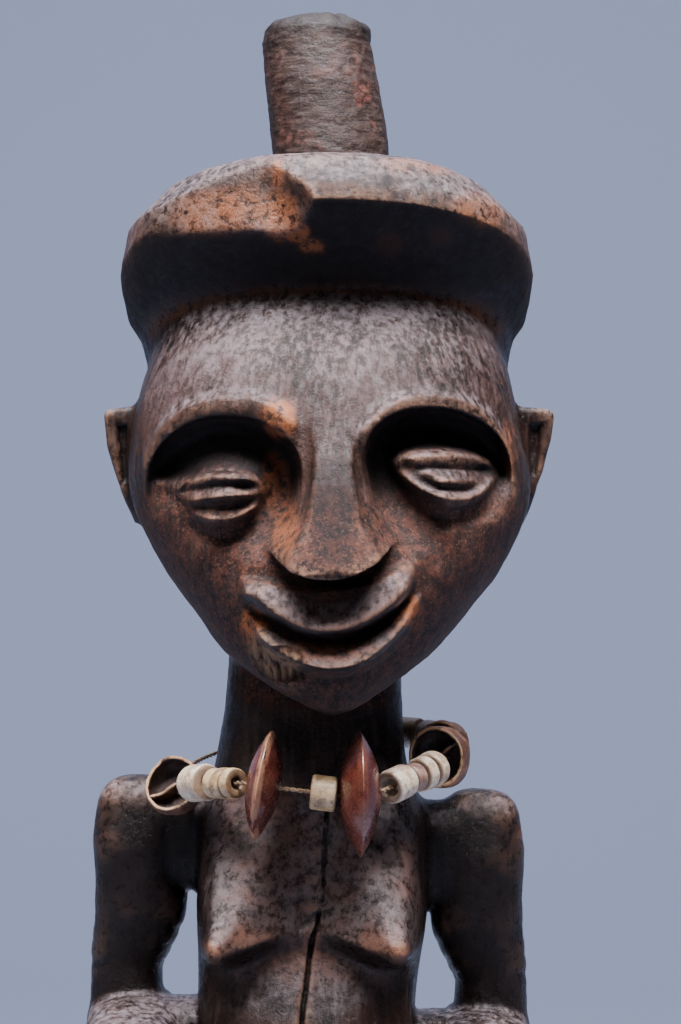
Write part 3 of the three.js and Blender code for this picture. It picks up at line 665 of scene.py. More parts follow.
def slope_of(field, points, reach=0.3):
    """Which way the field grows fastest at each point, and how fast."""
    parts = []
    for axis in np.eye(3) * reach:
        parts.append((field(points + axis) - field(points - axis)) / (2 * reach))
    return np.stack(parts, axis=1)


def mesh_object(name, points, faces, smooth=True):
    """A new object of the given points, in metres, and faces."""
    mesh = bpy.data.meshes.new(name)
    mesh.vertices.add(len(points))
    mesh.vertices.foreach_set("co", np.asarray(points, np.float32).ravel())
    faces = np.asarray(faces, np.int32)
    mesh.loops.add(faces.size)
    mesh.loops.foreach_set("vertex_index", faces.ravel())
    mesh.polygons.add(len(faces))
    mesh.polygons.foreach_set("loop_start", np.arange(len(faces), dtype=np.int32) * faces.shape[1])
    mesh.polygons.foreach_set("use_smooth", np.full(len(faces), smooth))
    mesh.update(calc_edges=True)
    piece = bpy.data.objects.new(name, mesh)
    bpy.context.scene.collection.objects.link(piece)
    return piece


def finished(piece):
    """Turns an object and its modifiers into a plain mesh."""
    shown = piece.evaluated_get(bpy.context.evaluated_depsgraph_get())
    mesh = bpy.data.meshes.new_from_object(shown)
    piece.modifiers.clear()
    old = piece.data
    piece.data = mesh
    bpy.data.meshes.remove(old)
    mesh.name = piece.name
    return piece


figure_axes = [lattice([(-60, 0.8), (-44, 0.6), (-6, 0.4), (12, 0.6), (50, 0.8), (62, 0.8)]),
               lattice([(-68, 0.55), (-36, 0.75), (54, 0.8)]),
               lattice([(-2, 0.95), (150, 0.75), (255, 0.5), (332, 0.75), (392, 0.75)])]
points, quads = skin_of(figure_field, figure_axes)
slopes = slope_of(figure_field, points)
least_steep, furthest_move = 0.05, 0.5
steepness = np.maximum((slopes ** 2).sum(1, keepdims=True), least_steep)
points -= np.clip(figure_field(points)[:, None] / steepness, -furthest_move, furthest_move) * slopes
slopes = slope_of(figure_field, points)
outward = slopes / np.maximum(np.linalg.norm(slopes, axis=1, keepdims=True), 1e-6)
face = falling(points[:, 1], -20, 12) * rising(points[:, 2], 250, 10) * falling(points[:, 2], 346, 10)
arms = rising(np.abs(points[:, 0]), 30, 4) * rising(points[:, 2], 150, 10) * falling(points[:, 2], 242, 6)
calm = (1 - 0.7 * face) * (1 - 0.6 * arms)
scallops = tool_marks(points, 9, 1) - 0.42
lumps = hills(points / 22, 2)
grain = hills(points / (1.1, 1.1, 15), 8) + 0.6 * hills(points / (0.7, 0.7, 5), 9)
grit = hills(points / 2.1, 10)
chips = hills(points / (4.5, 4.5, 6), 12)
depth = 0.34 * scallops * calm + 0.3 * lumps * calm + 0.12 * chips + 0.07 * grain + 0.05 * grit - 0.12
points += outward * depth[:, None]
clearance, most_triangles = 0.02, 190000
low, high = (np.array(corner) / MM for corner in cad_box)
points = np.clip(points, low + clearance, high - clearance)
figure_piece = mesh_object("carved_figure", points * MM, quads)
thinner = figure_piece.modifiers.new("thinner", "DECIMATE")
thinner.ratio = min(1.0, most_triangles / (2 * len(quads)))
finished(figure_piece)


def worn_marks(piece):
    """Stores on each point how far it stands out as an edge and how far it lies in a hollow, from 0 to 1."""
    mesh = piece.data
    count = len(mesh.vertices)
    places, normals = np.empty(count * 3, np.float32), np.empty(count * 3, np.float32)
    mesh.vertices.foreach_get("co", places)
    mesh.vertices.foreach_get("normal", normals)
    ends = np.empty(len(mesh.edges) * 2, np.int32)
    mesh.edges.foreach_get("vertices", ends)
    places, normals, ends = places.reshape(-1, 3) / MM, normals.reshape(-1, 3), ends.reshape(-1, 2)
    first, second = ends.T
    along = places[first] - places[second]
    length = np.maximum(np.linalg.norm(along, axis=1), 0.2)
    bend = ((normals[first] - normals[second]) * along).sum(1) / length
    neighbours = np.maximum(np.bincount(first, minlength=count) + np.bincount(second, minlength=count), 1)

    def spread(first_values, second_values):
        """The mean over the edges at each point of what lies at their other ends."""
        total = np.bincount(first, second_values, count) + np.bincount(second, first_values, count)
        return total / neighbours

    value = spread(bend, bend)
    for _ in range(2):
        value = 0.4 * value + 0.6 * spread(value[first], value[second])
    for name, amount in (("wear", (value - 0.05) / 0.30), ("hollow", (-value - 0.04) / 0.25)):
        store(piece, name, np.clip(amount, 0, 1))
    return places, normals


def store(piece, name, values):
    """Keeps a value on each point for the material to read."""
    mark = piece.data.attributes.new(name, "FLOAT", "POINT")
    mark.data.foreach_set("value", np.asarray(values, np.float32))


def patch(places, x, z, half, tall):
    """From 1 in the middle of an oval patch on the front to 0 at its edge."""
    off = ((places[:, 0] - x) / half) ** 2 + ((places[:, 2] - z) / tall) ** 2
    return ease(1.3 * (1 - off)) * (places[:, 1] < 0)


# What the wood's colour follows, from 0 to 1 on each point: painted shade and soot, crust, red wear, torn
# fibre and pale wear.
places, normals = worn_marks(figure_piece)
x, y, z = places.T
from_middle = np.abs(x)
front_relief = relief_at(x, z) * falling(y, -20, 10)
on_face = falling(y, -8, 14) * rising(z, 254, 4) * falling(z, 352, 8)
lower_face = on_face * falling(z, 312, 14) * falling(front_relief, 4.5, 2)
# The eye hollows take painted shade.
eye_hollows = on_face * falling(front_relief, -2.5, 4) * rising(z, 300, 14)
nose_front = patch(places, nose_middle, 309, 8.5, 27) * falling(y, -50, 4)
chin = on_face * falling(z, 266, 6)
lower_lip = on_face * falling(np.abs(z - 269.9 - 0.024 * (x - 4) ** 2), 2.7, 1.2)
lower_lip *= falling(np.abs(x - 4), 19, 3)
# The neck's sides and the arm fronts, which face away from the top light, take painted shade.
neck_sides = rising(np.abs(x - 1), 15, 8) * (z > 236) * (z < 262) * (y > -40)
arm_fronts = falling(normals[:, 2], 0.42, 0.3) * falling(z, 236, 8) * rising(from_middle, 25, 4)
arm_fronts *= rising(z, 130, 12)
chest = falling(from_middle, 26, 4) * falling(y, -15, 4) * rising(z, 186, 10) * falling(z, 240, 10)

# The headdress: how high a point lies above the rim's edge and its underside, and how far behind the worn
# corner.
above_edge = z - 361 + np.where(y < 5, 0.33, 0.2) * (y - 5)
underside = z + 0.41 * (y - 5)
corner = worn_border(x, y, z)
# The rim's underside takes a near-black painted shadow.
rim_face = rising(underside, 343.5, 5) * falling(above_edge, 0.6, 1.6) * (corner > 0.7)
# A reddish band at the foot of the rim's underside, partly worn red wood and partly a painted lit band.
rim_foot = rising(underside, 340.5, 2.5) * falling(underside, 347, 2.5) * (y < -5)
greasy = rising(x, -8, 3) * falling(x, 52, 10) * (y < -8)
greasy *= falling(above_edge, 8 + 5 * hills(places * 0.12, 41), 3) * rising(above_edge, -1, 1)
greasy *= ease(0.75 + 1.2 * hills(places * 0.45, 42))
slope = np.maximum(rising(above_edge, 0, 2), falling(np.abs(corner), 0.7, 0.5) * (z > 360))
slope *= 0.35 + 0.5 * ease(0.5 + 1.3 * hills(places * 0.2, 43))

# Painted shade in the eye hollows, under the rim, on the arm fronts and on the neck's sides.
sunken = np.zeros(len(places))
# On the nose, chin, lower face and lip the darkening is partly painted shade and partly crust; on the greasy
# bevel it is grime.
for dark, amount in ((eye_hollows, 1.0), (rim_face, 0.95), (arm_fronts, 1.0), (neck_sides, 0.8),
                     (nose_front, 0.78), (chin, 0.25), (lower_face, 0.25), (lower_lip, 0.4), (greasy, 0.85)):
    sunken = np.maximum(sunken, amount * dark)
crust = np.clip(lower_face + 0.35 * on_face * falling(front_relief, -1.5, 3) + 0.25 * on_face, 0, 1)
crust = np.maximum(crust * (1 + 0.6 * nose_front), np.maximum(0.6 * greasy, 0.5 * rim_face))
red = 0.3 * rim_foot
for patch_x, patch_z, half, tall, amount in (
        (-8, 325, 5, 6, 1.0), (-24.3, 197, 4, 4, 0.4), (20.5, 197, 4, 4, 0.4), (4, 270.5, 17, 3, 0.3),
        (-14, 277, 4, 5, 0.9), (22, 280, 4, 5, 0.8), (57, 224, 7, 9, 0.6), (-9, 310, 4, 9, 0.45),
        (-6.5, 299, 4, 8, 0.4), (47, 318, 3, 8, 0.35), (-22, 374.5, 16, 7, 0.75), (-8, 373, 6, 7, 1.0),
        (-4, 369.5, 4, 3, 1.0), (-0.5, 366.5, 4, 2, 0.9), (-8.5, 384, 1.6, 4.6, 0.9), (18, 367, 4, 4, 0.25),
        (30, 369, 4, 3, 0.2), (40, 376, 8, 6, 0.45), (24, 386, 12, 3, 0.4)):
    red = np.maximum(red, amount * patch(places, patch_x, patch_z, half, tall))
torn = patch(places, -8, 268, 6.4, 5) + 0.7 * patch(places, -13, 271, 3, 5)
# Pale wear on the face's high relief, and a paler chest that is partly painted light on its lit front.
worn_and_lit = np.maximum(0.3 * on_face * rising(front_relief, 3, 3), chest)
pale = np.clip(slope * (1 - 0.7 * greasy) + worn_and_lit, 0, 1)
for name, values in (("crust", crust), ("sunken", sunken), ("red", red), ("torn", torn), ("pale", pale)):
    store(figure_piece, name, values)


class Nodes:
    """A tree of nodes, with short ways to add and join them."""

    def __init__(self, tree):
        self.tree = tree

    def add(self, kind, inputs=(), **settings):
        """A node with its settings, and its inputs by name or number, each a value or another's output."""
        node = self.tree.nodes.new(kind)
        for name, value in settings.items():
            setattr(node, name, value)
        for key, value in dict(inputs).items():
            if isinstance(value, bpy.types.NodeSocket):
                self.tree.links.new(value, node.inputs[key])
            else:
                node.inputs[key].default_value = value
        return node

    def maths(self, kind, first, second=0.5):
        """One sum of a kind that Blender's maths node knows."""
        return self.add("ShaderNodeMath", {0: first, 1: second}, operation=kind).outputs[0]

    def times(self, first, *others):
        """The product of two values or more."""
        for other in others:
            first = self.maths("MULTIPLY", first, other)
        return first

    def span(self, value, low, high, to_low=0.0, to_high=1.0):
        """A value's run from low to high as a run between two others, held at both ends."""
        inputs = {"Value": value, "From Min": low, "From Max": high, "To Min": to_low, "To Max": to_high}
        return self.add("ShaderNodeMapRange", inputs, interpolation_type="SMOOTHSTEP").outputs[0]

    def mix(self, share, first, second):
        """One colour turning into another as the share grows."""
        first, second = ((*one, 1) if isinstance(one, tuple) else one for one in (first, second))
        inputs = {0: share, 6: first, 7: second}
        return self.add("ShaderNodeMix", inputs, data_type="RGBA", blend_type="MIX").outputs[2]

    def noise(self, places, scale, detail, roughness):
        """Soft noise, with so much fine detail."""
        inputs = {"Vector": places, "Scale": scale, "Detail": detail, "Roughness": roughness}
        return self.add("ShaderNodeTexNoise", inputs).outputs[0]

    def stretched(self, places, amounts):
        """The places scaled by an amount along each axis."""
        return self.add("ShaderNodeMapping", {"Vector": places, "Scale": amounts}).outputs[0]


class Surface(Nodes):
    """A material with one principled shader."""

    def __init__(self, name):
        self.material = bpy.data.materials.new(name)
        self.material.use_nodes = True
        super().__init__(self.material.node_tree)
        self.shader = self.tree.nodes["Principled BSDF"]

    def places(self):
        """Where each point lies on the object, in metres."""
        return self.add("ShaderNodeTexCoord").outputs["Object"]

    def mark(self, name):
        """A value stored on each point."""
        return self.add("ShaderNodeAttribute", attribute_name=name).outputs["Fac"]

    def facing_up(self):
        """From 1 where the surface looks up to -1 where it looks down."""
        normal = self.add("ShaderNodeNewGeometry").outputs["Normal"]
        return self.add("ShaderNodeSeparateXYZ", {0: normal}).outputs["Z"]

    def finish(self, colour, roughness, bumps, **constants):
        """Feeds the shader. Each bump is a height, its depth in metres and how strongly it shows."""
        normal = None
        for height, depth, strength in bumps:
            inputs = {"Height": height, "Distance": depth, "Strength": strength}
            if normal is not None:
                inputs["Normal"] = normal
            normal = self.add("ShaderNodeBump", inputs).outputs[0]
        self.tree.links.new(colour, self.shader.inputs["Base Color"])
        self.tree.links.new(roughness, self.shader.inputs["Roughness"])
        self.tree.links.new(normal, self.shader.inputs["Normal"])
        for name, value in constants.items():
            self.shader.inputs[name.replace("_", " ")].default_value = value
        return self.material


def node_group(name, kind, entries, exits):
    """A node group. An entry is given as a number, or as its kind of socket, and an exit as its kind."""
    tree = bpy.data.node_groups.new(name, kind)
    for entry, value in entries.items():
        given_kind = value if isinstance(value, str) else "Float"
        socket_added = tree.interface.new_socket(entry, in_out="INPUT", socket_type=f"NodeSocket{given_kind}")
        if not isinstance(value, str):
            socket_added.default_value = value
    for leaving, kind_put_out in exits.items():
        tree.interface.new_socket(leaving, in_out="OUTPUT", socket_type=f"NodeSocket{kind_put_out}")
    return Nodes(tree)


# The marks of age that all the pieces share: streaks along the piece, fine grit, soft blotches and specks.
age = node_group("marks_of_age", "ShaderNodeTree",
                 {"Places": "Vector", "Grit scale": 1500.0, "Blotch scale": 45.0},
                 {"Streaks": "Float", "Grit": "Float", "Blotches": "Float", "Specks": "Float"})
age_given = age.add("NodeGroupInput").outputs
age_long = age.stretched(age_given["Places"], (1, 1, 0.07))
age.add("NodeGroupOutput", {
    "Streaks": age.noise(age_long, 700, 5, 0.65),
    "Grit": age.noise(age_given["Places"], age_given["Grit scale"], 3, 0.7),
    "Blotches": age.noise(age_given["Places"], age_given["Blotch scale"], 5, 0.6),
    "Specks": age.noise(age_given["Places"], 420.0, 6, 0.75)})


def age_marks(surface, places, grit_scale, blotch_scale):
    """The streaks, grit, blotches and specks of a surface."""
    inputs = {"Places": places, "Grit scale": grit_scale, "Blotch scale": blotch_scale}
    marks = surface.add("ShaderNodeGroup", inputs, node_tree=age.tree).outputs
    return [marks[name] for name in ("Streaks", "Grit", "Blotches", "Specks")]


def old_wood():
    """Dark oiled wood, nearly black where never rubbed, brown and red where the patina is thin; painted shade
    and sheen.
    """
    wood = Surface("old_wood")
    streaks, grit, blotches, specks = age_marks(wood, wood.places(), 1400.0, 40.0)
    up = wood.facing_up()
    wear, hollow, crust, sunken, red, pale, torn = (
        wood.mark(name) for name in ("wear", "hollow", "crust", "sunken", "red", "pale", "torn"))
    oiled_black, oiled_brown = (0.0065, 0.0034, 0.0027), (0.029, 0.0138, 0.0095)
    open_grain, sheen_grey = (0.062, 0.038, 0.028), (0.165, 0.138, 0.150)
    colour = wood.mix(wood.span(blotches, 0.38, 0.62), oiled_black, oiled_brown)
    colour = wood.mix(wood.span(streaks, 0.46, 0.66, 0, 0.55), colour, open_grain)
    # Painted sheen: a patchy lilac-grey highlight on up-facing parts, where the top light would glint, kept
    # off the crust.
    sheen_patches = wood.maths("ADD", wood.maths("ADD", specks, streaks), wood.times(blotches, 0.7))
    painted_sheen = wood.times(wood.span(up, 0.14, 0.6), wood.span(sheen_patches, 1.18, 1.62),
                       wood.span(crust, 0.35, 0.9, 0.8, 0.1))
    colour = wood.mix(painted_sheen, colour, sheen_grey)
    red_crust, pale_grit, soot = (0.115, 0.036, 0.019), (0.30, 0.135, 0.082), (0.0042, 0.0019, 0.0015)
    rubbed_edge, red_wood, fresh_fibre = (0.25, 0.135, 0.085), (0.30, 0.095, 0.030), (0.25, 0.145, 0.075)
    tan = wood.mix(wood.span(blotches, 0.42, 0.6), (0.16, 0.125, 0.118), (0.19, 0.085, 0.052))
    hollow_dark, shadow = (0.005, 0.003, 0.0025), (0.003, 0.0017, 0.0015)
    facing_down = wood.times(wood.span(up, -0.75, 0.05, 0.92, 0), wood.span(red, 0.2, 0.8, 1, 0.2))
    for tint, amount, where, broken_up in (
            (red_crust, 0.7, crust, wood.span(specks, 0.44, 0.60)),
            (pale_grit, 0.4, crust, wood.span(grit, 0.56, 0.66)),
            # The soot colour here also paints shade in hollows and on faces turned from the light.
            (soot, 0.95, sunken, 1.0),
            (rubbed_edge, 0.85, wear, wood.span(specks, 0.36, 0.58)),
            (red_wood, 0.85, red, wood.span(specks, 0.38, 0.56)),
            (fresh_fibre, 0.9, torn, wood.span(streaks, 0.36, 0.56)),
            (tan, 0.6, pale, wood.span(specks, 0.36, 0.62)),
            # Darker in the hollows, by how concave the surface is.
            (hollow_dark, 0.85, hollow, 1.0),
            (shadow, 1.0, facing_down, wood.span(crust, 0.2, 0.9, 1, 0.45))):
        colour = wood.mix(wood.times(where, broken_up, amount), colour, tint)
    dull = wood.maths("ADD", wood.times(crust, 0.5), wood.times(sunken, 0.02))
    roughness = wood.span(wood.maths("ADD", specks, dull), 0.38, 0.88, 0.24, 0.72)
    bumps = [(streaks, 0.0004, 0.4), (specks, 0.0011, 0.5), (grit, 0.0003, 0.5)]
    return wood.finish(colour, roughness, bumps, Specular_IOR_Level=0.22)


figure_piece.data.materials.clear()
figure_piece.data.materials.append(old_wood())
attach(figure_piece, "root")
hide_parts("figure")


# The horn
# The stub of an animal's horn, set in a socket in the crown. It is oval, ridged across, and worn at its
# cut end.
def ring(radius, height, sides, middle=(0, 0)):
    """The points of one level ring."""
    angles = np.linspace(0, 2 * np.pi, sides, endpoint=False)
    return np.stack([middle[0] + radius * np.cos(angles), middle[1] + radius * np.sin(angles),
                     np.full(sides, height)], 1)


def lathe(rings):
    """Points and quads of a body of rings, one after the other."""
    sides = len(rings[0])
    start = np.arange(sides)
    after = (start + 1) % sides
    one_band = np.stack([start, after, after + sides, start + sides], 1)
    quads = [one_band + k * sides for k in range(len(rings) - 1)]
    return np.vstack(rings), np.vstack(quads)


def closed_body(name, points, quads, **marks):
    """An object of a ringed body with its marks. Points that meet are joined and open ends are filled."""
    piece = mesh_object(name, points * MM, quads)
    for mark, values in marks.items():
        store(piece, mark, values)
    kit = bmesh.new()
    kit.from_mesh(piece.data)
    bmesh.ops.remove_doubles(kit, verts=kit.verts, dist=1e-6)
    bmesh.ops.holes_fill(kit, edges=[edge for edge in kit.edges if edge.is_boundary], sides=len(points))
    bmesh.ops.recalc_face_normals(kit, faces=kit.faces)
    kit.to_mesh(piece.data)
    kit.free()
    return piece


def horn_mesh():
    """A tall body of rings round the horn's leaning axis, rounded over at the top and wrinkled across."""
    foot, top, rounding_start, rounding = 379.1, 429.5, 424.6, 5.2
    rings = []
    for height in np.linspace(foot, top, 190):
        radius = np.interp(height, [379, 396, 411, 419, 425], [14.95, 15.2, 14.7, 14.2, 13.9])
        over = max(height - rounding_start, 0) / rounding
        rings.append(ring(radius * np.sqrt(max(1 - over ** 2.4, 0.02)), height, 160, horn_axis(height)))
    points, quads = lathe(rings)
    out = points - np.stack([*horn_axis(points[:, 2]), points[:, 2]], 1)
    out /= np.maximum(np.linalg.norm(out, axis=1, keepdims=True), 1e-6)
    wrinkles = hills(points * (0.16, 0.16, 0.36) + (0, 0, 0.2) * points[:, :1], 3)
    fine = hills(points * (0.5, 0.5, 1.0), 4)
    lumps = hills(points * 0.09, 5)
    above_socket = rising(points[:, 2], 386.5, 4)
    points += out * ((0.12 * wrinkles + 0.11 * fine + 0.3 * lumps - 0.25) * above_socket)[:, None]
    notch = ease(1 - np.hypot(points[:, 0] - 11.5, points[:, 1] - 4) / 4.5)
    cut_end = 0.7 * hills(points * (0.3, 0.3, 0), 6) - 0.2 - 2.2 * notch
    points[:, 2] += rising(points[:, 2], 422, 5) * cut_end
    return points, quads


def weathered_horn():
    """Taupe horn, ridged across, with dark grease in the ridges, red-brown patches and a scorched cut end."""
    horn = Surface("weathered_horn")
    places = horn.places()
    streaks, grit, blotches, specks = age_marks(horn, places, 1300.0, 70.0)
    ridges = horn.noise(horn.stretched(places, (0.22, 0.22, 1)), 900, 5, 0.7)
    place = horn.add("ShaderNodeSeparateXYZ", {0: places}).outputs
    grease, taupe, dry_horn = (0.014, 0.008, 0.0065), (0.043, 0.0265, 0.021), (0.082, 0.054, 0.046)
    red_brown, scorch = (0.17, 0.055, 0.04), (0.012, 0.008, 0.007)
    colour = horn.mix(horn.span(ridges, 0.36, 0.62), grease, taupe)
    colour = horn.mix(horn.span(specks, 0.5, 0.66, 0, 0.6), colour, dry_horn)
    lower_right = horn.span(horn.maths("SUBTRACT", place["X"], place["Z"]), -0.412, -0.385)
    reddened = horn.times(horn.span(blotches, 0.50, 0.62), horn.span(specks, 0.40, 0.56),
                          horn.maths("ADD", lower_right, 0.25), 0.8)
    colour = horn.mix(reddened, colour, red_brown)
    colour = horn.mix(horn.span(place["Z"], 0.4195, 0.4265, 0, 0.9), colour, scorch)
    roughness = horn.span(specks, 0.35, 0.7, 0.42, 0.72)
    bumps = [(ridges, 0.0004, 0.5), (streaks, 0.0003, 0.4), (grit, 0.0003, 0.7)]
    return horn.finish(colour, roughness, bumps, Specular_IOR_Level=0.25)


horn_piece = closed_body("ridged_horn", *horn_mesh())
horn_piece.data.materials.append(weathered_horn())
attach(horn_piece, "root")
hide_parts("crown_horn")


# The string
# A thin cord of two plies of plant fibre, twisted together. It lies round the neck and on the chest, is tied
# in a small knot at the nape, and carries every bead and shell.
STRING_ROUTE = [
    (2.4, -41.4, 236.3), (5.8, -41.5, 236.1), (15, -40.3, 236.4), (20.5, -34.3, 238.2), (25, -28, 239.3),
    (29.4, -21, 240.8), (33, -10, 243), (33.6, 3, 244.6), (29, 18, 246), (16, 27.5, 246.5), (-0.5, 30.5, 246),
    (-15, 27.5, 244), (-25, 18, 241.5), (-31.5, 4, 239), (-32.8, -11.5, 235), (-28.2, -24.5, 237.4),
    (-21.5, -33, 237.9), (-15.9, -39.2, 238.5), (-7.8, -41.1, 237.5)]


def closed_line(points, steps):
    """A smooth closed line through the points."""
    points = np.array(points, float)
    wrapped = np.vstack([points[-2:], points, points[:3]])
    return smooth_line(wrapped, steps)[2 * steps:(len(points) + 2) * steps]


route = closed_line(STRING_ROUTE, 12)


def socket_named(tree, name):
    """The identifier of a group's input, which a modifier sets it by."""
    return next(item.identifier for item in tree.interface.items_tree if item.name == name)


def put_out(kit, geometry, material, leaving):
    """Ends a geometry tree: its instances are made real and take their material."""
    real = kit.add("GeometryNodeRealizeInstances", {"Geometry": geometry}).outputs[0]
    painted = kit.add("GeometryNodeSetMaterial", {"Geometry": real, "Material": material}).outputs[0]
    kit.add("NodeGroupOutput", {leaving: painted})


def twisted_string_tree(material):
    """Geometry nodes that turn a closed line into twisted plies."""
    kit = node_group("twisted_string", "GeometryNodeTree",
                     {"Line": "Geometry", "Ply radius": 0.0003, "Ply offset": 0.00028, "Turns": 70.0},
                     {"String": "Geometry"})
    given = kit.add("NodeGroupInput").outputs
    line = kit.add("GeometryNodeMeshToCurve", {"Mesh": given["Line"]}).outputs[0]
    even = kit.add("GeometryNodeResampleCurve", {"Curve": line, "Count": 620}).outputs[0]
    plies = kit.add("GeometryNodeDuplicateElements", {"Geometry": even, "Amount": 2}, domain="SPLINE").outputs
    along = kit.add("GeometryNodeSplineParameter").outputs["Factor"]
    turn = kit.times(given["Turns"], 2 * np.pi, along)
    angle = kit.maths("ADD", turn, kit.times(plies["Duplicate Index"], np.pi))
    normal = kit.add("GeometryNodeInputNormal").outputs[0]
    tangent = kit.add("GeometryNodeInputTangent").outputs[0]
    across = kit.add("ShaderNodeVectorMath", {0: tangent, 1: normal}, operation="CROSS_PRODUCT").outputs[0]
    shifts = {}
    for number, (way, wave) in enumerate(((normal, "COSINE"), (across, "SINE"))):
        inputs = {0: way, "Scale": kit.times(kit.maths(wave, angle), given["Ply offset"])}
        shifts[number] = kit.add("ShaderNodeVectorMath", inputs, operation="SCALE").outputs[0]
    offset = kit.add("ShaderNodeVectorMath", shifts, operation="ADD").outputs[0]
    moved = kit.add("GeometryNodeSetPosition", {"Geometry": plies["Geometry"], "Offset": offset}).outputs[0]
    section = {"Resolution": 7, "Radius": given["Ply radius"]}
    profile = kit.add("GeometryNodeCurvePrimitiveCircle", section).outputs[0]
    tube = kit.add("GeometryNodeCurveToMesh", {"Curve": moved, "Profile Curve": profile}).outputs[0]
    put_out(kit, tube, material, "String")
    return kit.tree


def line_object(name, points):
    """A closed line of edges, in metres."""
    mesh = bpy.data.meshes.new(name)
    count = len(points)
    mesh.from_pydata([tuple(point) for point in points], [(k, (k + 1) % count) for k in range(count)], [])
    piece = bpy.data.objects.new(name, mesh)
    bpy.context.scene.collection.objects.link(piece)
    return piece


def plant_fibre():
    """Tan bast fibre, darkened where hands and soot have reached it."""
    fibre = Surface("plant_fibre")
    _, grit, blotches, specks = age_marks(fibre, fibre.places(), 2200.0, 160.0)
    brown, tan, soot = (0.085, 0.045, 0.024), (0.36, 0.235, 0.13), (0.045, 0.024, 0.015)
    colour = fibre.mix(fibre.span(specks, 0.36, 0.62), brown, tan)
    colour = fibre.mix(fibre.span(blotches, 0.55, 0.66, 0, 0.7), colour, soot)
    roughness = fibre.span(grit, 0.3, 0.7, 0.7, 0.95)
    return fibre.finish(colour, roughness, [(grit, 0.0002, 0.8)])


plies_tree = twisted_string_tree(plant_fibre())


def twisted(name, line, turns):
    """A closed line, in millimetres, as a twisted string."""
    piece = line_object(name, line * MM)
    plies = piece.modifiers.new("plies", "NODES")
    plies.node_group = plies_tree
    plies[socket_named(plies_tree, "Turns")] = turns
    return finished(piece)


knot_turn = np.linspace(0, 2 * np.pi, 60, endpoint=False)
knot_size = 0.5
knot = knot_size * np.stack([np.cos(knot_turn) - 2 * np.cos(2 * knot_turn), np.sin(3 * knot_turn),
                             np.sin(knot_turn) + 2 * np.sin(2 * knot_turn)], 1)
nape = route[np.argmax(route[:, 1])]
string_piece = twisted("twisted_string", route, 70.0)
knot_piece = twisted("nape_knot", nape + knot, 8.0)
both = bmesh.new()
both.from_mesh(string_piece.data)
both.from_mesh(knot_piece.data)
both.to_mesh(string_piece.data)
both.free()
bpy.data.objects.remove(knot_piece)
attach(string_piece, "root")
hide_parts("necklace_string")


# The bone beads
# Short lengths of bone, sawn off, drilled and threaded, and rubbed round on the string until their edges
# softened. Soil has stayed in their cracks and their holes.
def along_string(place):
    """Which way the string runs at the nearest point to a place, in millimetres."""
    nearest = np.argmin(((route - place) ** 2).sum(1))
    way = route[(nearest + 3) % len(route)] - route[nearest - 3]
    return way / np.linalg.norm(way)


def turn_to(axis):
    """The rotation that turns +Z to an axis."""
    return np.array(Vector((0, 0, 1)).rotation_difference(Vector(axis)).to_matrix())


def middle_of(node):
    """The middle of a CAD piece, in millimetres."""
    low, high = (np.array(corner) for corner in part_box(node))
    return (low + high) / 2 / MM


def bead_tree():
    """Geometry nodes for one bead: a rounded wall swept round a hole, with an uneven rubbed surface."""
    kit = node_group("bone_bead", "GeometryNodeTree",
                     {"Radius": 0.004, "Hole": 0.0012, "Length": 0.004, "Rounding": 0.0007,
                      "Unevenness": 0.0002, "Seed": 0.0, "Bone": "Material"}, {"Bead": "Geometry"})
    given = kit.add("NodeGroupInput").outputs
    thickness = kit.maths("SUBTRACT", given["Radius"], given["Hole"])
    middle = kit.times(kit.maths("ADD", given["Radius"], given["Hole"]), 0.5)
    wall = kit.add("GeometryNodeCurvePrimitiveQuadrilateral", {"Width": thickness, "Height": given["Length"]})
    rounded = kit.add("GeometryNodeFilletCurve",
                      {"Curve": wall.outputs[0], "Count": 5, "Radius": given["Rounding"]}, mode="POLY")
    fine_wall = kit.add("GeometryNodeResampleCurve", {"Curve": rounded.outputs[0], "Count": 40}).outputs[0]
    circle = kit.add("GeometryNodeCurvePrimitiveCircle", {"Resolution": 56, "Radius": middle}).outputs[0]
    swept = kit.add("GeometryNodeCurveToMesh", {"Curve": circle, "Profile Curve": fine_wall}).outputs[0]
    inputs = {"Scale": 260, "Detail": 3, "W": given["Seed"]}
    noise = kit.add("ShaderNodeTexNoise", inputs, noise_dimensions="4D").outputs[0]
    reach = kit.times(kit.maths("SUBTRACT", noise, 0.75), given["Unevenness"])
    normal = kit.add("GeometryNodeInputNormal").outputs[0]
    shift = kit.add("ShaderNodeVectorMath", {0: normal, "Scale": reach}, operation="SCALE").outputs[0]
    worn = kit.add("GeometryNodeSetPosition", {"Geometry": swept, "Offset": shift}).outputs[0]
    smooth = kit.add("GeometryNodeSetShadeSmooth", {"Geometry": worn}).outputs[0]
    put_out(kit, smooth, given["Bone"], "Bead")
    return kit.tree


bone_bead_tree = bead_tree()


def polished_bone(name, light, deep, soil):
    """Bone rubbed smooth, with fine dark pores and soil left in its cracks and round its hole."""
    bone = Surface(name)
    places = bone.places()
    _, grit, blotches, specks = age_marks(bone, places, 2600.0, 210.0)
    colour = bone.mix(bone.span(blotches, 0.36, 0.64), light, deep)
    cracks = bone.noise(bone.stretched(places, (1, 1, 2.2)), 380, 6, 0.78)
    edge = bone.maths("ABSOLUTE", bone.maths("SUBTRACT", cracks, 0.5))
    in_cracks, in_pores = bone.span(edge, 0.0, 0.022, 0.85, 0), bone.span(specks, 0.50, 0.64, 0, 0.65)
    for share in (in_cracks, in_pores, bone.mark("hollow")):
        colour = bone.mix(share, colour, soil)
    roughness = bone.span(grit, 0.35, 0.7, 0.34, 0.6)
    return bone.finish(colour, roughness, [(edge, 0.0002, 0.6), (grit, 0.00012, 0.5)],
                       Coat_Weight=0.15, Coat_Roughness=0.25)


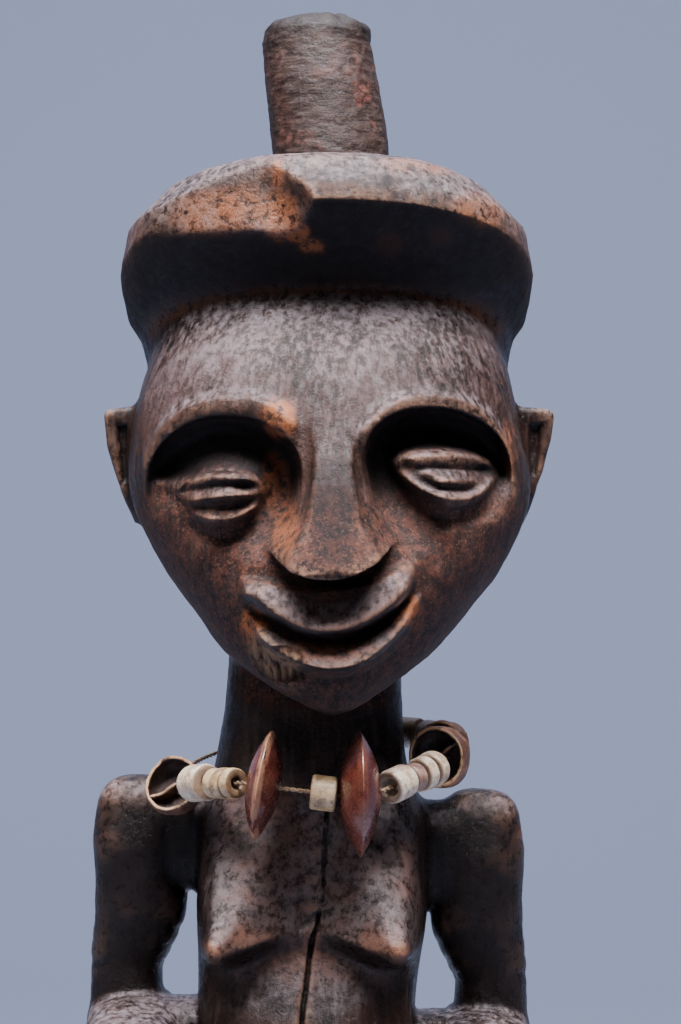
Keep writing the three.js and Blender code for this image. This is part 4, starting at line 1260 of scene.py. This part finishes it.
BONES = {"white_bone": ((0.70, 0.60, 0.46), (0.54, 0.40, 0.26), (0.15, 0.075, 0.038)),
         "cream_bone": ((0.56, 0.41, 0.23), (0.38, 0.235, 0.105), (0.09, 0.042, 0.020)),
         "pinkish_bone": ((0.36, 0.22, 0.165), (0.24, 0.125, 0.085), (0.06, 0.03, 0.02))}
bones = {slot: polished_bone(f"rubbed_{slot}", *tints) for slot, tints in BONES.items()}
# Each bead's radius and length in millimetres, and its bone.
BEADS = {
    "bone_bead_centre": (4.3, 6.4, "cream_bone"), "bone_bead_right_1": (4.2, 7.4, "white_bone"),
    "bone_bead_right_2": (3.6, 4.0, "pinkish_bone"), "bone_bead_right_3": (4.3, 3.8, "white_bone"),
    "bone_bead_right_4": (4.5, 3.8, "white_bone"), "bone_bead_left_1": (3.8, 3.2, "cream_bone"),
    "bone_bead_left_2": (3.9, 3.2, "cream_bone"), "bone_bead_left_3": (3.7, 3.2, "cream_bone"),
    "bone_bead_left_4": (4.6, 8.4, "white_bone")}
for side, count in (("right", 4), ("left", 2)):
    for number in range(1, count + 1):
        BEADS[f"nape_bead_{side}_{number}"] = (4.0, 7.4, "cream_bone")
for number, (node, (radius, length, slot)) in enumerate(BEADS.items()):
    bead = line_object(f"worn_{node}", [(0, 0, 0), (0, 0, MM), (0, MM, 0)])
    shaping = bead.modifiers.new("shape", "NODES")
    shaping.node_group = bone_bead_tree
    hole = 2.2 if node == "bone_bead_right_1" else 1.3
    for name, value in (("Radius", radius * MM), ("Hole", hole * MM), ("Length", length * MM),
                        ("Rounding", 0.9 * MM), ("Unevenness", 0.35 * MM), ("Seed", float(number)),
                        ("Bone", bones[slot])):
        shaping[socket_named(bone_bead_tree, name)] = value
    finished(bead)
    middle = middle_of(node)
    turn = turn_to(along_string(middle))
    off = np.array([vertex.co[:] for vertex in bead.data.vertices]) / MM
    reach = np.hypot(off[:, 0], off[:, 1])
    ends = rising(np.abs(off[:, 2]), length / 2 - 0.7, 0.6) * falling(reach, radius - 0.1, 0.5)
    soiled = 0.85 if node in ("nape_bead_right_3", "nape_bead_right_4") else 0.0
    store(bead, "hollow", np.maximum(np.maximum(0.75 * ends, falling(reach, 2.3, 0.9)), soiled))
    bead.data.transform(Matrix.Translation(Vector(middle * MM)) @ Matrix(turn.tolist()).to_4x4())
    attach(bead, "root")
    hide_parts(node)


# The lens beads
# Two big seeds or stones ground to a lens, drilled through the middle and threaded so that they hang on
# edge. They are polished, with a raw chipped rim.
def lens_mesh(radius, thickness, seed, roughness):
    """Two shallow domes that meet in a sharp rim, with a hole down the middle."""
    bore, land, sides = 2.0, 0.18, 120
    rings = []
    for turn in np.linspace(0, np.pi, 48):
        out = bore + (radius - bore) * np.sin(turn)
        bulge = thickness / 2 * (1 - ((out - bore) / (radius - bore)) ** 1.8)
        rings.append(ring(out, -np.sign(np.cos(turn)) * (bulge + land), sides))
    for share in np.linspace(0, 1, 6)[1:]:
        rings.append(ring(bore, (thickness / 2 + land) * (1 - 2 * share), sides))
    points, quads = lathe(rings)
    points += roughness * hills(points * 0.35 + seed * 9, seed)[:, None] * (0.3, 0.3, 1)
    return points, quads


def polished_lens():
    """Dark red-brown, polished to a gloss, with fine scratches, and pale raw stone along a chipped rim."""
    lens = Surface("polished_lens")
    streaks, grit, blotches, specks = age_marks(lens, lens.places(), 1500.0, 130.0)
    dark_red, red_brown = (0.060, 0.013, 0.009), (0.125, 0.030, 0.018)
    spotted, raw_rim = (0.16, 0.055, 0.034), (0.27, 0.125, 0.062)
    colour = lens.mix(lens.span(blotches, 0.36, 0.62), dark_red, red_brown)
    colour = lens.mix(lens.span(specks, 0.58, 0.74, 0, 0.4), colour, spotted)
    raw = lens.times(lens.mark("raw"), lens.span(specks, 0.34, 0.5))
    colour = lens.mix(raw, colour, raw_rim)
    roughness = lens.span(lens.maths("ADD", grit, lens.times(raw, 0.5)), 0.4, 0.9, 0.2, 0.65)
    return lens.finish(colour, roughness, [(streaks, 0.0001, 0.3), (specks, 0.00008, 0.3)],
                       Coat_Weight=0.15, Coat_Roughness=0.15)


lens_material = polished_lens()
# Each lens's radius and thickness in millimetres, its axis, its seed and how rough it is.
LENS_BEADS = {"lens_bead_left": (13.1, 7.4, (0.97, -0.1, -0.15), 11, 0.14),
              "lens_bead_right": (14.9, 9.4, (1, 0.06, 0), 12, 0.04)}
for node, (radius, thickness, axis, seed, roughness) in LENS_BEADS.items():
    points, quads = lens_mesh(radius, thickness, seed, roughness)
    out = np.hypot(points[:, 0], points[:, 1]) / radius
    chipped = 0.15 if node.endswith("right") else 1
    raw = chipped * rising(out, 0.86, 0.06) * (hills(points * 0.2, seed) > -0.5)
    points = points @ turn_to(axis).T + middle_of(node)
    lens = closed_body(f"ground_{node}", points, quads, raw=raw)
    lens.data.materials.append(lens_material)
    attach(lens, "root")
    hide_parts(node)


# The nutshells
# Halves of small hard nuts, pierced at the closed end and strung there. Their mouths are sawn, their walls
# are thin and fibrous, and a broken septum crosses each.
def shell_mesh(radius, depth, seed):
    """A cup with a thin wall, uneven all round."""
    outer = [(1.2, 0), (radius * 0.45, 0.1), (radius * 0.78, 0.9), (radius * 0.95, depth * 0.32),
             (radius, depth * 0.6), (radius * 0.985, depth - 0.4), (radius * 0.96, depth)]
    inner = [(radius * 0.88, depth), (radius * 0.86, depth - 0.6), (radius * 0.86, depth * 0.55),
             (radius * 0.7, depth * 0.3), (radius * 0.4, 1.4), (1.2, 1.3)]
    profile = np.vstack([smooth_line(outer, 6), smooth_line(inner, 6), [outer[0]]])
    points, quads = lathe([ring(out, height, shell_sides) for out, height in profile])
    lumps = hills(points * 0.25 + seed * 7, seed)
    fine = hills(points * 0.9, seed + 1)
    flat = np.hypot(points[:, 0], points[:, 1])[:, None]
    points += points * (1, 1, 0) / np.maximum(flat, 1) * ((0.35 * lumps + 0.12 * fine)[:, None] - 0.3)
    return points, quads


def septum_mesh(radius, depth, first):
    """The thin wall across a nutshell, bent and broken off just under the mouth."""
    across = np.linspace(-0.9, 0.9, 25) * radius
    down = np.linspace(1.2, depth - 0.9, 9)
    x, z = np.meshgrid(across, down, indexing="ij")
    waves = hills(np.stack([x, x * 0, z], -1).reshape(-1, 3) * 0.5, 31).reshape(x.shape)
    bow = 1.1 * np.sin(x / radius * 2.2) + 0.25 * waves
    z = z - 0.9 * ease((z - depth + 2.4) / 1.6) * (0.5 + 0.5 * np.sin(x * 1.3))
    sheets = [np.stack([x, bow + shift, z], -1).reshape(-1, 3) for shift in (-0.35, 0.35)]
    cells = np.arange(x.size).reshape(x.shape)
    front = np.stack([cells[:-1, :-1], cells[1:, :-1], cells[1:, 1:], cells[:-1, 1:]], -1).reshape(-1, 4)
    edge = np.concatenate([cells[:-1, 0], cells[-1, :-1], cells[:0:-1, -1], cells[0, :0:-1]])
    after = np.roll(edge, -1)
    sides = np.stack([after, edge, edge + x.size, after + x.size], 1)
    return np.vstack(sheets), np.vstack([front, front[:, ::-1] + x.size, sides]) + first


def nutshell():
    """Orange-brown woody shell: fibrous outside, dark and sooty inside, pale where it was sawn."""
    shell = Surface("nutshell")
    streaks, grit, blotches, specks = age_marks(shell, shell.places(), 1500.0, 130.0)
    brown, orange, spotted = (0.075, 0.027, 0.014), (0.26, 0.105, 0.042), (0.035, 0.016, 0.010)
    soot, fresh = (0.022, 0.011, 0.008), (0.46, 0.275, 0.145)
    colour = shell.mix(shell.span(blotches, 0.36, 0.62), brown, orange)
    colour = shell.mix(shell.span(specks, 0.40, 0.56, 0.7, 0), colour, spotted)
    colour = shell.mix(shell.times(shell.mark("inside"), 0.93), colour, soot)
    colour = shell.mix(shell.times(shell.mark("sawn"), shell.span(specks, 0.36, 0.54)), colour, fresh)
    roughness = shell.span(grit, 0.3, 0.7, 0.42, 0.78)
    bumps = [(streaks, 0.0004, 0.5), (specks, 0.0005, 0.6), (grit, 0.0002, 0.6)]
    return shell.finish(colour, roughness, bumps, Coat_Weight=0.1, Coat_Roughness=0.3)


shell_material = nutshell()
shell_sides = 96
# Each shell's radius and depth in millimetres, and which way its mouth looks.
NUTSHELLS = {"nutshell_left": (7.6, 6.2, (-0.35, -0.85, 0.4)),
             "nutshell_right_1": (8, 6.4, (-0.45, -0.88, 0)),
             "nutshell_right_2": (7, 6, (-0.45, -0.88, 0.1)),
             "nutshell_right_3": (6.6, 6, (-0.1, -1, -0.2))}
for number, (node, (radius, depth, mouth)) in enumerate(NUTSHELLS.items()):
    points, quads = shell_mesh(radius, depth, 20 + number)
    row = np.arange(len(points)) // shell_sides
    inside, sawn = rising(row, 39, 3), falling(np.abs(row - 37.5), 3, 1.6)
    wall_points, wall_quads = septum_mesh(radius, depth, len(points))
    inside = np.concatenate([inside, np.full(len(wall_points), 0.6)])
    sawn = np.concatenate([sawn, rising(wall_points[:, 2], depth - 2.2, 0.8) * 0.8])
    points, quads = np.vstack([points, wall_points]), np.vstack([quads, wall_quads])
    points = points @ turn_to(np.array(mouth) / np.linalg.norm(mouth)).T
    points += middle_of(node) - (points.min(0) + points.max(0)) / 2
    shell = closed_body(f"cut_{node}", points, quads, inside=inside, sawn=sawn)
    shell.data.materials.append(shell_material)
    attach(shell, "root")
    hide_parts(node)


# Floor and light
# A plain pale floor that curves up behind the figure, as a studio's paper does. The light is soft and comes
# from high in front, as in the photograph, with one lamp for the floor's rise behind.
def sweep_points():
    """A floor that turns up into a wall behind."""
    arc = [(1.6 + 0.9 * np.sin(turn), 0.9 - 0.9 * np.cos(turn)) for turn in np.linspace(0, np.pi / 2, 24)]
    line = [(-3.0, 0.0), (0.0, 0.0)] + arc + [(2.5, 5.0)]
    return [(x, y, z) for y, z in line for x in (-4.0, 4.0)]


sweep = sweep_points()
rows = np.arange(len(sweep) // 2 - 1) * 2
floor = mesh_object("floor", sweep, np.stack([rows, rows + 1, rows + 3, rows + 2], 1))
pale_floor = Surface("pale_floor")
pale_floor.shader.inputs["Base Color"].default_value = (0.27, 0.30, 0.40, 1)
pale_floor.shader.inputs["Roughness"].default_value = 0.9
floor.data.materials.append(pale_floor.material)

world = bpy.data.worlds.new("studio")
world.use_nodes = True
world.node_tree.nodes["Background"].inputs["Color"].default_value = (0.62, 0.68, 0.92, 1)
world.node_tree.nodes["Background"].inputs["Strength"].default_value = 0.05
bpy.context.scene.world = world


def soft_light(name, place, aim, size, power, colour, spread=180):
    """A rectangular lamp, with its size in metres, its power in watts and its spread in degrees."""
    lamp = bpy.data.objects.new(name, bpy.data.lights.new(name, "AREA"))
    lamp.data.shape = "RECTANGLE"
    lamp.data.size, lamp.data.size_y = size
    lamp.data.energy = power
    lamp.data.color = colour
    lamp.data.spread = np.radians(spread)
    lamp.location = place
    lamp.rotation_euler = (Vector(aim) - Vector(place)).to_track_quat("-Z", "Y").to_euler()
    bpy.context.scene.collection.objects.link(lamp)


soft_light("sky", (0.0, -0.33, 1.2), (0, -0.12, 0.3), (1.1, 0.55), 12.5, (0.97, 0.95, 1.0), 70)
soft_light("sheen", (0.05, -0.5, 1.4), (0, 0, 0.30), (0.8, 0.36), 3.2, (0.94, 0.93, 1.0), 50)
soft_light("side", (-1.3, -0.8, 1.1), (0, 0, 0.26), (0.6, 0.6), 0.3, (1.0, 0.95, 0.9), 50)
soft_light("backdrop", (0, 0.9, 2.6), (0, 2.4, 0.9), (2.4, 0.8), 112, (0.84, 0.89, 1.0))
